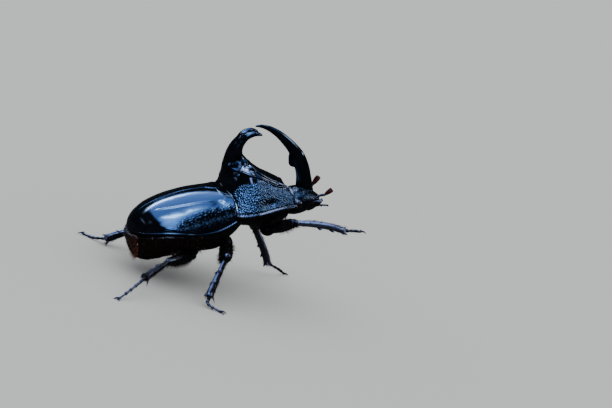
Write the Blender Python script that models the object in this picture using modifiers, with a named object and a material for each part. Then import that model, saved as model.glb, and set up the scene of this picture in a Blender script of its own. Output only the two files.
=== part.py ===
"""Male rhinoceros beetle in mid stride, life size: a still model made of its separate hard plates.

The body is drawn in its own frame, in millimetres: x runs forward from the rear end, y to the
beetle's left, and z up from the side edges of the wing cases. The whole body frame is then
pitched nose up over the floor.
"""

import math

import bmesh
import bpy
from mathutils import Vector

MM = 0.001
GAP = 0.3  # clearance between neighbouring plates

# Stance of the body over the floor
PITCH = math.radians(20.76)
BODY_HEIGHT = 9.33
UPRIGHT = (math.sin(PITCH), 0.0, math.cos(PITCH))  # away from the floor, in the body's own frame

# Wing cases: plan and profile
ELYTRA_APEX = 1.0
ELYTRA_FRONT = 24.6
ELYTRA_WIDEST = 13.5
ELYTRA_HALF_WIDTH = 12.0
SHOULDER_HALF_WIDTH = 10.8
PLAN_POWER = 1.84
ELYTRA_CREST = 7.85
ELYTRA_CREST_AT = 18.5
CREST_POWER = 1.9
SHOULDER_DROP = 0.45
# How square the cross section is along the wing cases: (x, power), 2 for an ellipse
ELYTRA_SECTION = [(2.0, 1.65), (6.0, 1.6), (10.0, 1.6), (14.0, 1.75), (18.0, 1.95), (24.0, 2.06)]
ELYTRA_THICKNESS = 0.6
SUTURE_DIP = 0.2
# Bow of the seam behind the pronotum: (distance from the middle, forward shift)
SEAM = [
    (0.0, -0.5), (2.4, -0.1), (4.0, 0.5), (5.7, 1.65),
    (7.4, 2.08), (9.0, 1.9), (10.7, 1.65), (12.0, 1.6),
]
SEAM_REACH = 9.0  # how far the bow carries on before and behind the seam
ELYTRA_START = 0.35  # where the shell starts ahead of its apex
BEAD = 0.45
BEAD_DROP = 0.6
BEAD_TUCK = 0.8  # width of the bead's lower edge, as a share of the upper one's
# Height of the side bead along the wing cases: (x, z)
ELYTRA_EDGE = [
    (0.9, 0.55), (4.2, 1.05), (8.0, 1.45), (11.4, 1.2),
    (15.5, 0.3), (19.0, 0.0), (22.3, 0.5), (25.8, 2.0),
]

# Abdomen and thorax below the wing cases
TAIL = 0.3
# Lowest point of the underside, from the tail to the hips: (x, z)
BELLY = [
    (0.3, -2.2), (0.7, -4.4), (1.3, -6.1), (2.4, -7.4), (4.0, -8.0),
    (6.5, -7.9), (10.0, -7.4), (17.0, -7.2), (21.0, -7.6), (25.0, -6.5),
]
BELLY_HALF_WIDTH = 11.5
BELLY_WIDEST = 13.0
BELLY_TAPER = 1.15  # how much narrower it is at its front end
BELLY_SQUARENESS = 2.15
BRIM = 1.35  # the belly's upper rim below the bead of the wing cases
LEDGE = 0.95  # where its dome under the wing cases starts, below the same bead
TAIL_TOP_SHARE = 0.8
STERNITE_LENGTH = 2.45
STERNITE_STEP = 0.98
STERNITE_GROOVE = 0.22
# Share of a sternite's length that its groove takes, before and behind the joint
GROOVE_BEFORE, GROOVE_BEHIND = 0.18, 0.1
PYGIDIUM_AT = (0.42, 0.7, 1.2)
PYGIDIUM_END = 2.05
TAIL_POLE_HEIGHT = -1.1
ABDOMEN_END = 17.0
METATHORAX_AT = (19.0, 21.0, 23.0)
METATHORAX_END = 24.15

# Pronotum stations: x, half width, edge height, crest height, distance of the crests from the middle
PRONOTUM = [
    (25.0, 10.9, 2.6, 7.9, 0.8),
    (26.5, 11.5, 2.4, 10.0, 1.2),
    (28.5, 11.8, 2.2, 11.6, 2.4),
    (31.0, 11.8, 2.1, 12.8, 3.4),
    (33.0, 11.4, 2.0, 12.6, 3.6),
    (34.8, 10.8, 1.9, 11.4, 3.5),
    (37.0, 9.9, 1.8, 9.45, 3.5),
    (39.8, 8.9, 1.6, 7.35, 3.5),
    (42.0, 8.1, 1.3, 5.85, 3.6),
    (43.2, 7.6, 1.1, 5.05, 3.8),
]
PRONOTUM_REAR = 25.1
PRONOTUM_FRONT = 43.2
PRONOTUM_AT = (26.0, 27.2, 28.6, 30.0, 31.5, 33.0, 34.4, 36.0, 37.8, 39.6, 41.4)
PRONOTUM_RIM = 0.45
HOLLOW_DEPTH = 0.9
# The hollow between the crests and the flatter sides come in between these places
FORE_START, FORE_END = 30.0, 38.0
# Side slope of the pronotum: inner and outer power behind, and their change to the front
SIDE_RISE, SIDE_RISE_FORE = 1.25, 0.55
SIDE_FALL, SIDE_FALL_FORE = 0.88, -0.16

# Undersides of the two front segments: x, half width, lowest point
MESOSTERNUM = [(24.45, 9.6, -6.4), (26.6, 9.2, -5.0), (28.4, 8.4, -3.3)]
PROSTERNUM = [
    (28.8, 8.6, -2.7), (31.0, 8.8, -3.4), (33.5, 8.4, -4.6),
    (36.0, 7.6, -5.5), (39.0, 6.6, -4.7), (41.6, 5.6, -3.5),
]
STERNUM_SQUARENESS = 2.1

# Shield between the wing cases: x, half width
SCUTELLUM = [(21.4, 0.35), (22.4, 0.95), (24.15, 1.7)]
SCUTELLUM_TOP, SCUTELLUM_LOW, SCUTELLUM_KEEL = 0.1, 0.58, 0.15

# Horn of the pronotum, up its middle: x, y, z, half across, half deep
PRONOTUM_HORN = [
    (30.4, 0.0, 8.6, 5.6, 4.9),
    (30.3, 0.0, 10.8, 4.6, 4.4),
    (29.95, 0.0, 13.0, 3.4, 3.35),
    (29.95, 0.0, 15.0, 2.8, 2.4),
    (30.45, 0.0, 16.6, 2.5, 1.8),
    (31.35, 0.0, 17.95, 2.35, 1.38),
    (32.65, 0.0, 19.05, 2.2, 1.08),
    (34.0, 0.0, 19.6, 1.7, 0.75),
]
# One lobe of its forked tip, on the +y side
HORN_LOBE = [
    (31.6, 0.9, 18.35, 1.15, 0.95),
    (33.2, 1.4, 19.65, 1.15, 0.85),
    (35.0, 1.65, 20.1, 1.0, 0.68),
    (36.4, 1.75, 19.8, 0.65, 0.45),
    (37.1, 1.75, 19.4, 0.25, 0.18),
]

# Head stations: x, half width, middle height, top, bottom
HEAD = [
    (41.0, 3.4, 0.5, 2.2, -2.0),
    (42.2, 4.4, 0.5, 2.7, -2.7),
    (44.0, 5.2, 0.4, 3.2, -3.1),
    (45.8, 5.0, 0.4, 3.8, -3.1),
    (47.4, 4.3, 0.3, 3.7, -2.8),
    (49.0, 3.5, 0.3, 3.0, -2.1),
    (50.3, 2.9, 0.3, 1.9, -1.3),
    (51.2, 2.3, 0.3, 1.1, -0.6),
]
HEAD_HORN = [
    (47.9, 0.0, 1.4, 2.1, 2.4),
    (48.0, 0.0, 4.0, 1.95, 2.2),
    (48.0, 0.0, 6.6, 1.75, 1.95),
    (47.6, 0.0, 9.2, 1.55, 1.85),
    (46.8, 0.0, 11.8, 1.4, 1.75),
    (45.5, 0.0, 14.2, 1.2, 1.45),
    (43.8, 0.0, 16.5, 1.0, 1.2),
    (42.1, 0.0, 18.4, 0.85, 0.98),
    (40.3, 0.0, 19.9, 0.7, 0.78),
    (38.8, 0.0, 20.8, 0.55, 0.6),
    (37.3, 0.0, 21.35, 0.4, 0.4),
    (36.1, 0.0, 21.5, 0.22, 0.2),
]
# Broad tooth behind the horn, from its upper end down to its corner
HORN_TOOTH = [
    (45.5, 0.0, 13.4, 0.6, 0.75),
    (45.35, 0.0, 12.2, 0.7, 1.05),
    (45.3, 0.0, 11.0, 0.6, 1.12),
    (45.2, 0.0, 10.2, 0.4, 0.95),
    (45.9, 0.0, 9.3, 0.25, 0.4),
]
HEAD_SIDES = 18
HEAD_POLES = ((40.4, 0.0, 0.5), (52.0, 0.0, 0.25))

EYE = (44.4, 4.9, 0.7)
EYE_RADII = (1.3, 1.2, 1.35)

# Lower mouth, one palp and one jaw, the last two on the +y side
MOUTH = [(48.9, 0.0, -2.6, 1.9, 0.5), (50.4, 0.0, -1.9, 1.6, 0.5), (51.5, 0.0, -1.3, 0.9, 0.32)]
PALP = [
    (50.4, 1.2, -1.9, 0.27, 0.27), (51.6, 1.7, -1.75, 0.27, 0.27), (52.6, 2.0, -1.85, 0.27, 0.27),
    (53.5, 2.1, -2.1, 0.27, 0.27),
]
JAW = [(48.6, 3.2, -0.7, 0.5, 0.9), (50.2, 2.9, -0.5, 0.5, 0.8), (51.5, 2.4, -0.3, 0.4, 0.5)]

# Feelers, the raised right one and the left one: stalk stations, tip of the middle leaf, and the way
# the leaves fan out
FEELERS = {
    "right": ([(46.6, -3.9, -0.4), (48.2, -5.2, 1.2), (49.8, -5.9, 2.4), (51.3, -6.2, 2.6)],
              (53.2, -6.5, 3.7), (0.5, 0.0, -0.85)),
    "left": ([(46.6, 3.9, -0.4), (48.4, 4.9, 0.4), (50.4, 4.8, 1.2), (51.9, 4.6, 1.8)],
             (53.8, 4.9, 3.6), (0.7, 0.3, -0.6)),
}
STALK_RADII = (0.42, 0.38, 0.3, 0.27)
# One leaf of the club: share of its length, half across, half deep
LEAF = [(0.0, 0.28, 0.28), (0.55, 0.62, 0.27), (0.85, 0.55, 0.26), (1.0, 0.25, 0.16)]
LEAF_SPREAD = 0.4

# Joints of each leg and the way its outer edge faces
LEGS = {
    "fore_right": {"hip": (36.6, -6.0, -4.4), "knee": (40.4, -13.0, -0.8), "ankle": (53.4, -13.4, -5.2),
                   "arch": (56.4, -12.9, -5.9), "toe": (58.2, -12.2, -6.7), "outer": (0.0, -0.9, -0.4)},
    "fore_left": {"hip": (36.0, 6.0, -5.8), "knee": (38.2, 14.6, -10.8), "ankle": (41.5, 15.0, -22.2),
                  "arch": (44.7, 16.1, -24.9), "toe": (46.9, 18.2, -27.4), "outer": (-0.9, 0.3, 0.0)},
    "mid_right": {"hip": (23.9, -6.4, -7.2), "knee": (21.5, -15.9, -5.7), "ankle": (15.1, -20.6, -12.8),
                  "arch": (14.4, -21.7, -14.4), "toe": (16.7, -23.9, -15.8), "outer": (-0.7, -0.2, 0.5)},
    "mid_left": {"hip": (24.2, 6.4, -7.2), "knee": (21.0, 16.0, -6.2), "ankle": (15.5, 18.5, -13.4),
                 "arch": (14.0, 20.3, -14.7), "toe": (13.1, 23.2, -14.6), "outer": (-0.7, 0.2, 0.5)},
    "hind_right": {"hip": (15.2, -7.6, -7.1), "knee": (7.0, -14.7, -4.6), "ankle": (-0.3, -20.9, -4.9),
                   "arch": (-4.6, -24.2, -5.8), "toe": (-8.3, -26.6, -6.5), "outer": (-0.3, -0.3, 0.9)},
    "hind_left": {"hip": (15.2, 7.6, -7.1), "knee": (9.4, 15.1, -5.7), "ankle": (-1.3, 16.1, -7.7),
                  "arch": (-4.0, 18.8, -7.9), "toe": (-6.0, 21.2, -7.35), "outer": (-0.3, 0.3, 0.9)},
}
RAISED_LEG = "fore_right"
TOE_HEIGHT = 0.3  # the middle of a standing foot's last joint over the floor, less than its radius
SPINE_CLEARANCE = 0.45  # least height of a thorn's tip over the floor
# Hip plates by pair: centre on the +y side and radii
COXAE = {
    "fore": ((36.0, 4.3, -4.6), (1.9, 2.5, 1.8)),
    "mid": ((24.6, 4.6, -6.0), (1.9, 2.4, 1.7)),
    "hind": ((15.4, 5.0, -6.4), (1.9, 3.0, 1.5)),
}
FEMUR_DEEP = {"fore": 2.0, "mid": 2.35, "hind": 1.5}
TIBIA_DEEP = {"fore": 0.98, "mid": 1.15, "hind": 1.2}
TIBIA_FLATNESS = {"fore": 0.8, "mid": 0.75, "hind": 0.75}
# Rise of the shin's middle over the line from knee to ankle, and how far that rise leans to the ankle
TIBIA_ARCH = {"fore": 0.6, "mid": 0.0, "hind": 0.0}
ARCH_LEAN = 1.3
# Shares of the thigh's length, width and depth
FEMUR_SHAPE = [(0.0, 0.5, 0.55), (0.2, 0.62, 0.8), (0.5, 0.7, 1.0), (0.8, 0.66, 0.84), (1.0, 0.5, 0.6)]
FEMUR_DOME = 0.8
# Shares of the shin's length and depth
TIBIA_SHAPE = {
    "fore": [(0.0, 0.6), (0.12, 0.8), (0.4, 0.95), (0.75, 1.0), (1.0, 0.95)],
    "mid": [(0.0, 0.5), (0.12, 0.58), (0.4, 0.7), (0.75, 0.85), (1.0, 0.95)],
    "hind": [(0.0, 0.5), (0.12, 0.55), (0.4, 0.66), (0.75, 0.78), (1.0, 0.85)],
}
# Teeth of the fore shin: share of its length, tooth length, lean towards the foot
FORE_TEETH = [(0.5, 0.7, 0.6), (0.74, 0.9, 0.7), (0.96, 1.3, 1.1)]
FORE_TOOTH_RADIUS = 0.5
# Rows of thorns round the other shins, as shares of the length, and each row's turns and thorn lengths
THORN_ROWS = (0.38, 0.66)
ROW_THORNS = [(-0.9, 0.95), (0.0, 1.25), (0.9, 0.95)]
ROW_TWIST = 0.04  # how far a row's thorns step along the shin as they turn round it
ROW_LEAN = 0.9
END_THORN_TURNS = (-1.3, -0.1, 1.1)
END_THORN_LENGTH = 1.3
END_THORN_SPLAY = 0.7
END_THORNS_BEFORE = 0.5  # how far before the ankle they stand
SPURS = [(2.5, 2.0), (3.6, 1.6)]
SPUR_LEAN = 0.7
THORN_DEPTH = 0.5  # how far out from the shin's middle a thorn is rooted, as a share of its depth
THORN_RADIUS = 0.3
THORN_TIP = 0.09
# Middle station of a thorn: share of its length, share of its root radius
THORN_MIDDLE, THORN_MIDDLE_RADIUS = 0.55, 0.62
FOOT_JOINTS = 5
# Each joint of the foot: share of its length, radius
FOOT_SHAPE = [(0.0, 0.29), (0.35, 0.36), (0.85, 0.44)]
FOOT_END_RADIUS = 0.36
# One claw: shares of its length forward, sideways and upwards, radius
CLAW = [(-0.18, 0.0, 0.0, 0.26), (0.5, 0.3, 0.06, 0.22), (0.85, 0.56, -0.06, 0.09)]
CLAW_LENGTH = 1.7

JET = (0.007, 0.008, 0.011, 1.0)
PITCH_BROWN = (0.022, 0.010, 0.008, 1.0)
RED_BROWN = (0.11, 0.016, 0.010, 1.0)
EYE_BROWN = (0.016, 0.010, 0.006, 1.0)


def clear_scene():
    for thing in list(bpy.data.objects):
        bpy.data.objects.remove(thing)


def new_collection(name):
    collection = bpy.data.collections.new(name)
    bpy.context.scene.collection.children.link(collection)
    return collection


clear_scene()
parts = new_collection("rhinoceros_beetle")
cutters = new_collection("cutters")
root = bpy.data.objects.new("beetle", None)
body = bpy.data.objects.new("body_frame", None)
body.parent = root
body.location = (0.0, 0.0, BODY_HEIGHT * MM)
body.rotation_euler = (0.0, -PITCH, 0.0)
parts.objects.link(root)
parts.objects.link(body)


def chitin(name, colour, roughness):
    """Glossy horn-like plate."""
    material = bpy.data.materials.new(name)
    material.use_nodes = True
    shader = material.node_tree.nodes["Principled BSDF"]
    shader.inputs["Base Color"].default_value = colour
    shader.inputs["Roughness"].default_value = roughness
    shader.inputs["Metallic"].default_value = 0.0
    return material


def value_at(stations, x, column=1):
    """Smooth curve through the stations' column, level beyond both ends."""
    xs = [station[0] for station in stations]
    ys = [station[column] for station in stations]
    if x <= xs[0]:
        return ys[0]
    if x >= xs[-1]:
        return ys[-1]
    last = len(xs) - 1
    i = max(k for k in range(last) if xs[k] <= x)

    def slope(k):
        low, high = max(k - 1, 0), min(k + 1, last)
        return (ys[high] - ys[low]) / (xs[high] - xs[low])

    span = xs[i + 1] - xs[i]
    t = (x - xs[i]) / span
    return (
        ys[i] * (1 + 2 * t) * (1 - t) ** 2
        + ys[i + 1] * t * t * (3 - 2 * t)
        + slope(i) * span * t * (1 - t) ** 2
        - slope(i + 1) * span * t * t * (1 - t)
    )


def smoothed(stations, steps):
    """Stations of a Catmull-Rom curve through the given ones."""
    padded = [stations[0], *stations, stations[-1]]
    points = []
    for before, start, end, after in zip(padded, padded[1:], padded[2:], padded[3:]):
        for step in range(steps):
            t = step / steps
            weights = (
                -t + 2 * t**2 - t**3,
                2 - 5 * t**2 + 3 * t**3,
                t + 4 * t**2 - 3 * t**3,
                t**3 - t**2,
            )
            points.append(tuple(
                sum(weight * value for weight, value in zip(weights, values)) / 2
                for values in zip(before, start, end, after)
            ))
    points.append(tuple(stations[-1]))
    return points


def lofted(rings, start_pole=None, end_pole=None):
    """Closed mesh through rings of equal count, ending in a pole or in a flat face."""
    bm = bmesh.new()
    rows = [[bm.verts.new(Vector(point) * MM) for point in ring] for ring in rings]
    count = len(rows[0])
    for low, high in zip(rows, rows[1:]):
        for k in range(count):
            bm.faces.new((low[k], low[(k + 1) % count], high[(k + 1) % count], high[k]))
    for row, pole in ((rows[0], start_pole), (rows[-1], end_pole)):
        if pole is None:
            bm.faces.new(row)
            continue
        tip = bm.verts.new(Vector(pole) * MM)
        for k in range(count):
            bm.faces.new((row[k], row[(k + 1) % count], tip))
    bmesh.ops.recalc_face_normals(bm, faces=bm.faces[:])
    return bm


def to_mesh(bm, name):
    mesh = bpy.data.meshes.new(name)
    bm.to_mesh(mesh)
    bm.free()
    return mesh


def swept(path, sides, across, grow=0.0, dome=0.5):
    """Oval tube along stations of (x, y, z, half across, half deep), with domed ends."""
    centres = [Vector(station[:3]) for station in path]
    last = len(path) - 1
    rings = []
    for i, (centre, station) in enumerate(zip(centres, path)):
        along = (centres[min(i + 1, last)] - centres[max(i - 1, 0)]).normalized()
        wide = (Vector(across) - along * along.dot(Vector(across))).normalized()
        deep = along.cross(wide)
        ring = []
        for k in range(sides):
            turn = 2 * math.pi * k / sides
            ring.append(
                centre
                + wide * (station[3] + grow) * math.cos(turn)
                + deep * (station[4] + grow) * math.sin(turn)
            )
        rings.append(ring)
    start_out = (centres[0] - centres[1]).normalized() * (path[0][4] * dome + grow)
    end_out = (centres[-1] - centres[-2]).normalized() * (path[-1][4] * dome + grow)
    return lofted(rings, centres[0] + start_out, centres[-1] + end_out)


def ellipsoid(centre, radii, grow=0.0, segments=12, rows=7):
    bm = bmesh.new()
    bmesh.ops.create_uvsphere(bm, u_segments=segments, v_segments=rows, radius=1.0)
    for vertex in bm.verts:
        vertex.co = Vector(c + (r + grow) * v for c, r, v in zip(centre, radii, vertex.co)) * MM
    return bm


def add_node(name, bm, colour=JET, roughness=0.12, at=(0.0, 0.0, 0.0)):
    """One named plate in the body frame, with its origin at the given point."""
    origin = Vector(at) * MM
    bmesh.ops.translate(bm, verts=bm.verts[:], vec=-origin)
    mesh = to_mesh(bm, name)
    mesh.materials.append(chitin(name + "_chitin", colour, roughness))
    node = bpy.data.objects.new(name, mesh)
    node.parent = body
    node.location = origin
    parts.objects.link(node)
    return node


def add_cutter(name, bm, parent=body):
    cutter = bpy.data.objects.new(name, to_mesh(bm, name))
    cutter.parent = parent
    cutter.hide_render = True
    cutter.display_type = "WIRE"
    cutters.objects.link(cutter)
    return cutter


def carve(node, cutter):
    """Cut the cutter's shape out of the node."""
    cut = node.modifiers.new("carve_" + cutter.name, "BOOLEAN")
    cut.operation = "DIFFERENCE"
    cut.solver = "EXACT"
    cut.object = cutter


def settle(node):
    """Make the node's modifiers permanent and keep only its largest closed surface."""
    bpy.context.view_layer.update()
    evaluated = node.evaluated_get(bpy.context.evaluated_depsgraph_get())
    mesh = bpy.data.meshes.new_from_object(evaluated)
    node.modifiers.clear()
    node.data = mesh
    bm = bmesh.new()
    bm.from_mesh(mesh)
    unseen = set(bm.faces)
    shells = []
    while unseen:
        front = [unseen.pop()]
        shell = []
        while front:
            face = front.pop()
            shell.append(face)
            for edge in face.edges:
                for neighbour in edge.link_faces:
                    if neighbour in unseen:
                        unseen.remove(neighbour)
                        front.append(neighbour)
        shells.append(shell)
    shells.sort(key=lambda shell: sum(face.calc_area() for face in shell))
    loose = [face for shell in shells[:-1] for face in shell]
    bmesh.ops.delete(bm, geom=loose, context="FACES")
    bm.to_mesh(mesh)
    bm.free()


def fuse(node, pieces):
    """Join closed pieces, given as meshes under construction, to the node as one body."""
    joined = new_collection("pieces_of_" + node.name)
    for number, bm in enumerate(pieces):
        piece = bpy.data.objects.new(f"piece_{number}", to_mesh(bm, f"piece_{number}"))
        piece.parent = body
        joined.objects.link(piece)
    union = node.modifiers.new("union", "BOOLEAN")
    union.operation = "UNION"
    union.operand_type = "COLLECTION"
    union.solver = "EXACT"
    union.collection = joined
    settle(node)
    for piece in list(joined.objects):
        bpy.data.objects.remove(piece)
    bpy.data.collections.remove(joined)


def mirrored(station, side):
    """The point or station, on the left for side 1 and on the right for side -1."""
    x, y, *rest = station
    return (x, y * side, *rest)


def over_floor(point):
    """Height over the floor of a point in the body frame."""
    return point[0] * UPRIGHT[0] + point[2] * UPRIGHT[2] + BODY_HEIGHT


def clear_of_floor(point, height):
    """The point, raised upright where it is lower than the height over the floor."""
    return Vector(point) + Vector(UPRIGHT) * max(height - over_floor(point), 0.0)


def spaced(low, high, count, crowd_low=True):
    """Positions from low to high, closer together near the rounded end."""
    for step in range(count + 1):
        t = step / count
        yield low + (high - low) * ((1 - math.cos(t * math.pi / 2)) if crowd_low else t)


def superellipse(turn, squareness):
    """Unit point on a quarter of a rounded square: sideways and upwards shares."""
    power = 2 / squareness
    side = math.sin(turn)
    return math.copysign(abs(side) ** power, side), max(math.cos(turn), 0.0) ** power


def quarter_turns(steps=6):
    """Turns from a quarter to the right, over the middle, to a quarter to the left."""
    return [step / steps * math.pi / 2 for step in range(-steps, steps + 1)]


def elytra_half_width(x, inset=0.0):
    apex = ELYTRA_APEX + inset
    if x <= apex:
        return 0.0
    if x < ELYTRA_WIDEST:
        share = (ELYTRA_WIDEST - x) / (ELYTRA_WIDEST - apex)
        return (ELYTRA_HALF_WIDTH - inset) * (1 - share**PLAN_POWER) ** (1 / PLAN_POWER)
    share = (x - ELYTRA_WIDEST) / (ELYTRA_FRONT - ELYTRA_WIDEST)
    return ELYTRA_HALF_WIDTH - inset - (ELYTRA_HALF_WIDTH - SHOULDER_HALF_WIDTH) * share**2


def elytra_crest(x, inset=0.0):
    apex = ELYTRA_APEX + inset
    edge = value_at(ELYTRA_EDGE, x)
    if x <= apex:
        return edge
    if x < ELYTRA_CREST_AT:
        share = (ELYTRA_CREST_AT - x) / (ELYTRA_CREST_AT - apex)
        return edge + (ELYTRA_CREST - inset - edge) * (1 - share**CREST_POWER) ** (1 / CREST_POWER)
    share = (x - ELYTRA_CREST_AT) / (ELYTRA_FRONT - ELYTRA_CREST_AT)
    return ELYTRA_CREST - inset - SHOULDER_DROP * share**2


def seam_bow(y, away):
    """Forward shift of a point by the bow of the seam, fading with the distance from the seam."""
    return value_at(SEAM, abs(y)) * min(max(1 - away / SEAM_REACH, 0.0), 1.0)


def build_elytron(name, side):
    """One wing case: a thin domed shell with a raised bead along its outer edge."""
    rows, columns = 15, 10
    bm = bmesh.new()
    grid = []
    for x in spaced(ELYTRA_APEX + ELYTRA_START, ELYTRA_FRONT, rows):
        width, edge, crest = elytra_half_width(x), value_at(ELYTRA_EDGE, x), elytra_crest(x)
        profile = []
        for column in range(columns + 1):
            across, up = superellipse(column / columns * math.pi / 2, value_at(ELYTRA_SECTION, x))
            y = GAP / 2 + (width - GAP / 2) * across
            dip = SUTURE_DIP * math.exp(-((y - GAP / 2) ** 2))
            profile.append((y, edge + (crest - edge) * up - dip))
        profile.append((width + BEAD, edge))
        profile.append((width + BEAD * BEAD_TUCK, edge - BEAD_DROP))
        grid.append([
            bm.verts.new(Vector((x + seam_bow(y, ELYTRA_FRONT - x), side * y, z)) * MM)
            for y, z in profile
        ])
    for low, high in zip(grid, grid[1:]):
        for k in range(len(low) - 1):
            bm.faces.new((low[k], low[k + 1], high[k + 1], high[k])[::side])
    bmesh.ops.triangulate(bm, faces=bm.faces[:])
    node = add_node(name, bm, JET, 0.08)
    shell = node.modifiers.new("thickness", "SOLIDIFY")
    shell.thickness = ELYTRA_THICKNESS * MM
    shell.offset = 1.0
    shell.use_even_offset = True
    return node


def hindbody_ring(x, groove=0.0):
    """Section of the body below the wing cases: a narrower dome above, a deeper bowl below."""
    inset = ELYTRA_THICKNESS + GAP * 1.3
    edge = value_at(ELYTRA_EDGE, x)
    rear_share = max((BELLY_WIDEST - x) / (BELLY_WIDEST - TAIL), 0.0)
    front_share = max((x - BELLY_WIDEST) / (METATHORAX_END - BELLY_WIDEST), 0.0)
    wide = BELLY_HALF_WIDTH * math.sqrt(1 - rear_share**2) - BELLY_TAPER * front_share**2 - groove
    ledge, brim = edge - LEDGE, edge - BRIM
    if x > PYGIDIUM_END:
        roof_width = min(elytra_half_width(x, inset), wide)
        roof = max(elytra_crest(x, inset), ledge) - GAP / 2
    else:
        roof_width, roof = wide * TAIL_TOP_SHARE, ledge
    ring = []
    for turn in quarter_turns():
        across, up = superellipse(turn, value_at(ELYTRA_SECTION, x))
        ring.append((x, roof_width * across, ledge + (roof - ledge) * up))
    low = value_at(BELLY, x) + groove
    for turn in reversed(quarter_turns()):
        across, down = superellipse(turn, BELLY_SQUARENESS)
        ring.append((x, wide * across, brim + (low - brim) * down))
    return ring


def build_abdomen():
    rings = []
    x = PYGIDIUM_END + GAP
    while x < ABDOMEN_END - STERNITE_GROOVE:
        phase = (ABDOMEN_END - x) / STERNITE_LENGTH % 1.0
        in_groove = phase < GROOVE_BEFORE or phase > 1 - GROOVE_BEHIND
        rings.append(hindbody_ring(x, STERNITE_GROOVE if in_groove else 0.0))
        x += STERNITE_STEP
    rings.append(hindbody_ring(ABDOMEN_END))
    return add_node("abdomen", lofted(rings), PITCH_BROWN, 0.28)


def build_pygidium():
    rings = [hindbody_ring(x) for x in (*PYGIDIUM_AT, PYGIDIUM_END)]
    return add_node("pygidium", lofted(rings, start_pole=(TAIL, 0.0, TAIL_POLE_HEIGHT)), RED_BROWN, 0.3)


def build_metathorax():
    rings = [hindbody_ring(x) for x in (ABDOMEN_END + GAP, *METATHORAX_AT, METATHORAX_END)]
    return add_node("metathorax", lofted(rings), JET, 0.2)


def underside_ring(x, half_width, top, low):
    """Section of a sternal plate: flat above, bowed below."""
    ring = [(x, half_width * step / 2, top) for step in range(-2, 2)]
    for turn in quarter_turns()[:0:-1]:
        across, down = superellipse(turn, STERNUM_SQUARENESS)
        ring.append((x, half_width * across, top + (low - top) * down))
    return ring


def under_pronotum(x):
    """Height at which the plates below the pronotum meet it."""
    return value_at(PRONOTUM, x, 2) - PRONOTUM_RIM - GAP


def build_mesosternum():
    """Plate that carries the middle legs, below the hind edge of the pronotum."""
    rings = [underside_ring(x, half_width, under_pronotum(x), low) for x, half_width, low in MESOSTERNUM]
    return add_node("mesosternum", lofted(rings), JET, 0.25)


def pronotum_height(x, y, grow=0.0):
    """Height of the pronotum: two crests with a hollow between, falling to rounded sides."""
    half_width = value_at(PRONOTUM, x, 1) + grow
    edge, crest = value_at(PRONOTUM, x, 2), value_at(PRONOTUM, x, 3) + grow
    crest_at = value_at(PRONOTUM, x, 4)
    forward = min(max((x - FORE_START) / (FORE_END - FORE_START), 0.0), 1.0)
    if abs(y) <= crest_at:
        hollow = HOLLOW_DEPTH * forward * (1 - (y / crest_at) ** 2)
        return crest - hollow
    out = min((abs(y) - crest_at) / (half_width - crest_at), 1.0)
    rise, fall = SIDE_RISE + SIDE_RISE_FORE * forward, SIDE_FALL + SIDE_FALL_FORE * forward
    return edge + (crest - edge) * (1 - out**rise) ** fall


def pronotum_ring(x, grow=0.0):
    half_width, edge = value_at(PRONOTUM, x, 1) + grow, value_at(PRONOTUM, x, 2)
    profile = []
    for turn in quarter_turns(12):
        y = half_width * math.sin(turn)
        profile.append((y, pronotum_height(x, y, grow)))
    for step in range(4, -5, -1):
        profile.append(((half_width - PRONOTUM_RIM / 2) * step / 4, edge - PRONOTUM_RIM - grow))
    return [(x + seam_bow(y, x - PRONOTUM_REAR), y, z) for y, z in profile]


def pronotum_shape(grow=0.0):
    stations = (PRONOTUM_REAR - grow, *PRONOTUM_AT, PRONOTUM_FRONT + grow)
    return lofted([pronotum_ring(x, grow) for x in stations])


def head_ring(x, half_width, middle, top, low, grow=0.0):
    ring = []
    for k in range(HEAD_SIDES):
        turn = 2 * math.pi * k / HEAD_SIDES
        height = (top - middle if math.sin(turn) > 0 else middle - low) + grow
        ring.append((x, (half_width + grow) * math.cos(turn), middle + height * math.sin(turn)))
    return ring


def head_shape(grow=0.0):
    rings = [head_ring(*station, grow) for station in smoothed(HEAD, 2)]
    (rear, *rear_rest), (front, *front_rest) = HEAD_POLES
    return lofted(rings, (rear - grow, *rear_rest), (front + grow, *front_rest))


def build_head():
    """Head, its curved horn with one tooth behind, eyes, jaws and palps. Returns the head's cutter."""
    head = add_node("head", head_shape(), JET, 0.12)
    for side, word in ((1, "left"), (-1, "right")):
        centre = mirrored(EYE, side)
        add_node("eye_" + word, ellipsoid(centre, EYE_RADII), EYE_BROWN, 0.05)
        carve(head, add_cutter("socket_eye_" + word, ellipsoid(centre, EYE_RADII, GAP)))
    grown = add_cutter("grown_head", head_shape(GAP))
    horn = add_node("head_horn", swept(smoothed(HEAD_HORN, 2), 12, (0, 1, 0)), JET, 0.12, HEAD_HORN[0][:3])
    fuse(horn, [swept(HORN_TOOTH, 8, (0, 1, 0))])
    carve(horn, grown)
    mouthparts = add_node("mouthparts", swept(MOUTH, 12, (0, 1, 0)), PITCH_BROWN, 0.25)
    fuse(mouthparts, [swept([mirrored(point, side) for point in PALP], 6, (0, 1, 0)) for side in (1, -1)])
    carve(mouthparts, grown)
    for side, word in ((1, "left"), (-1, "right")):
        jaw = [mirrored(point, side) for point in JAW]
        jaw_node = add_node("mandible_" + word, swept(jaw, 10, (0, 1, 0)), JET, 0.15)
        carve(jaw_node, grown)
        carve(jaw_node, add_cutter("grown_mouth_" + word, swept(MOUTH, 12, (0, 1, 0), GAP)))
    return grown


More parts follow.
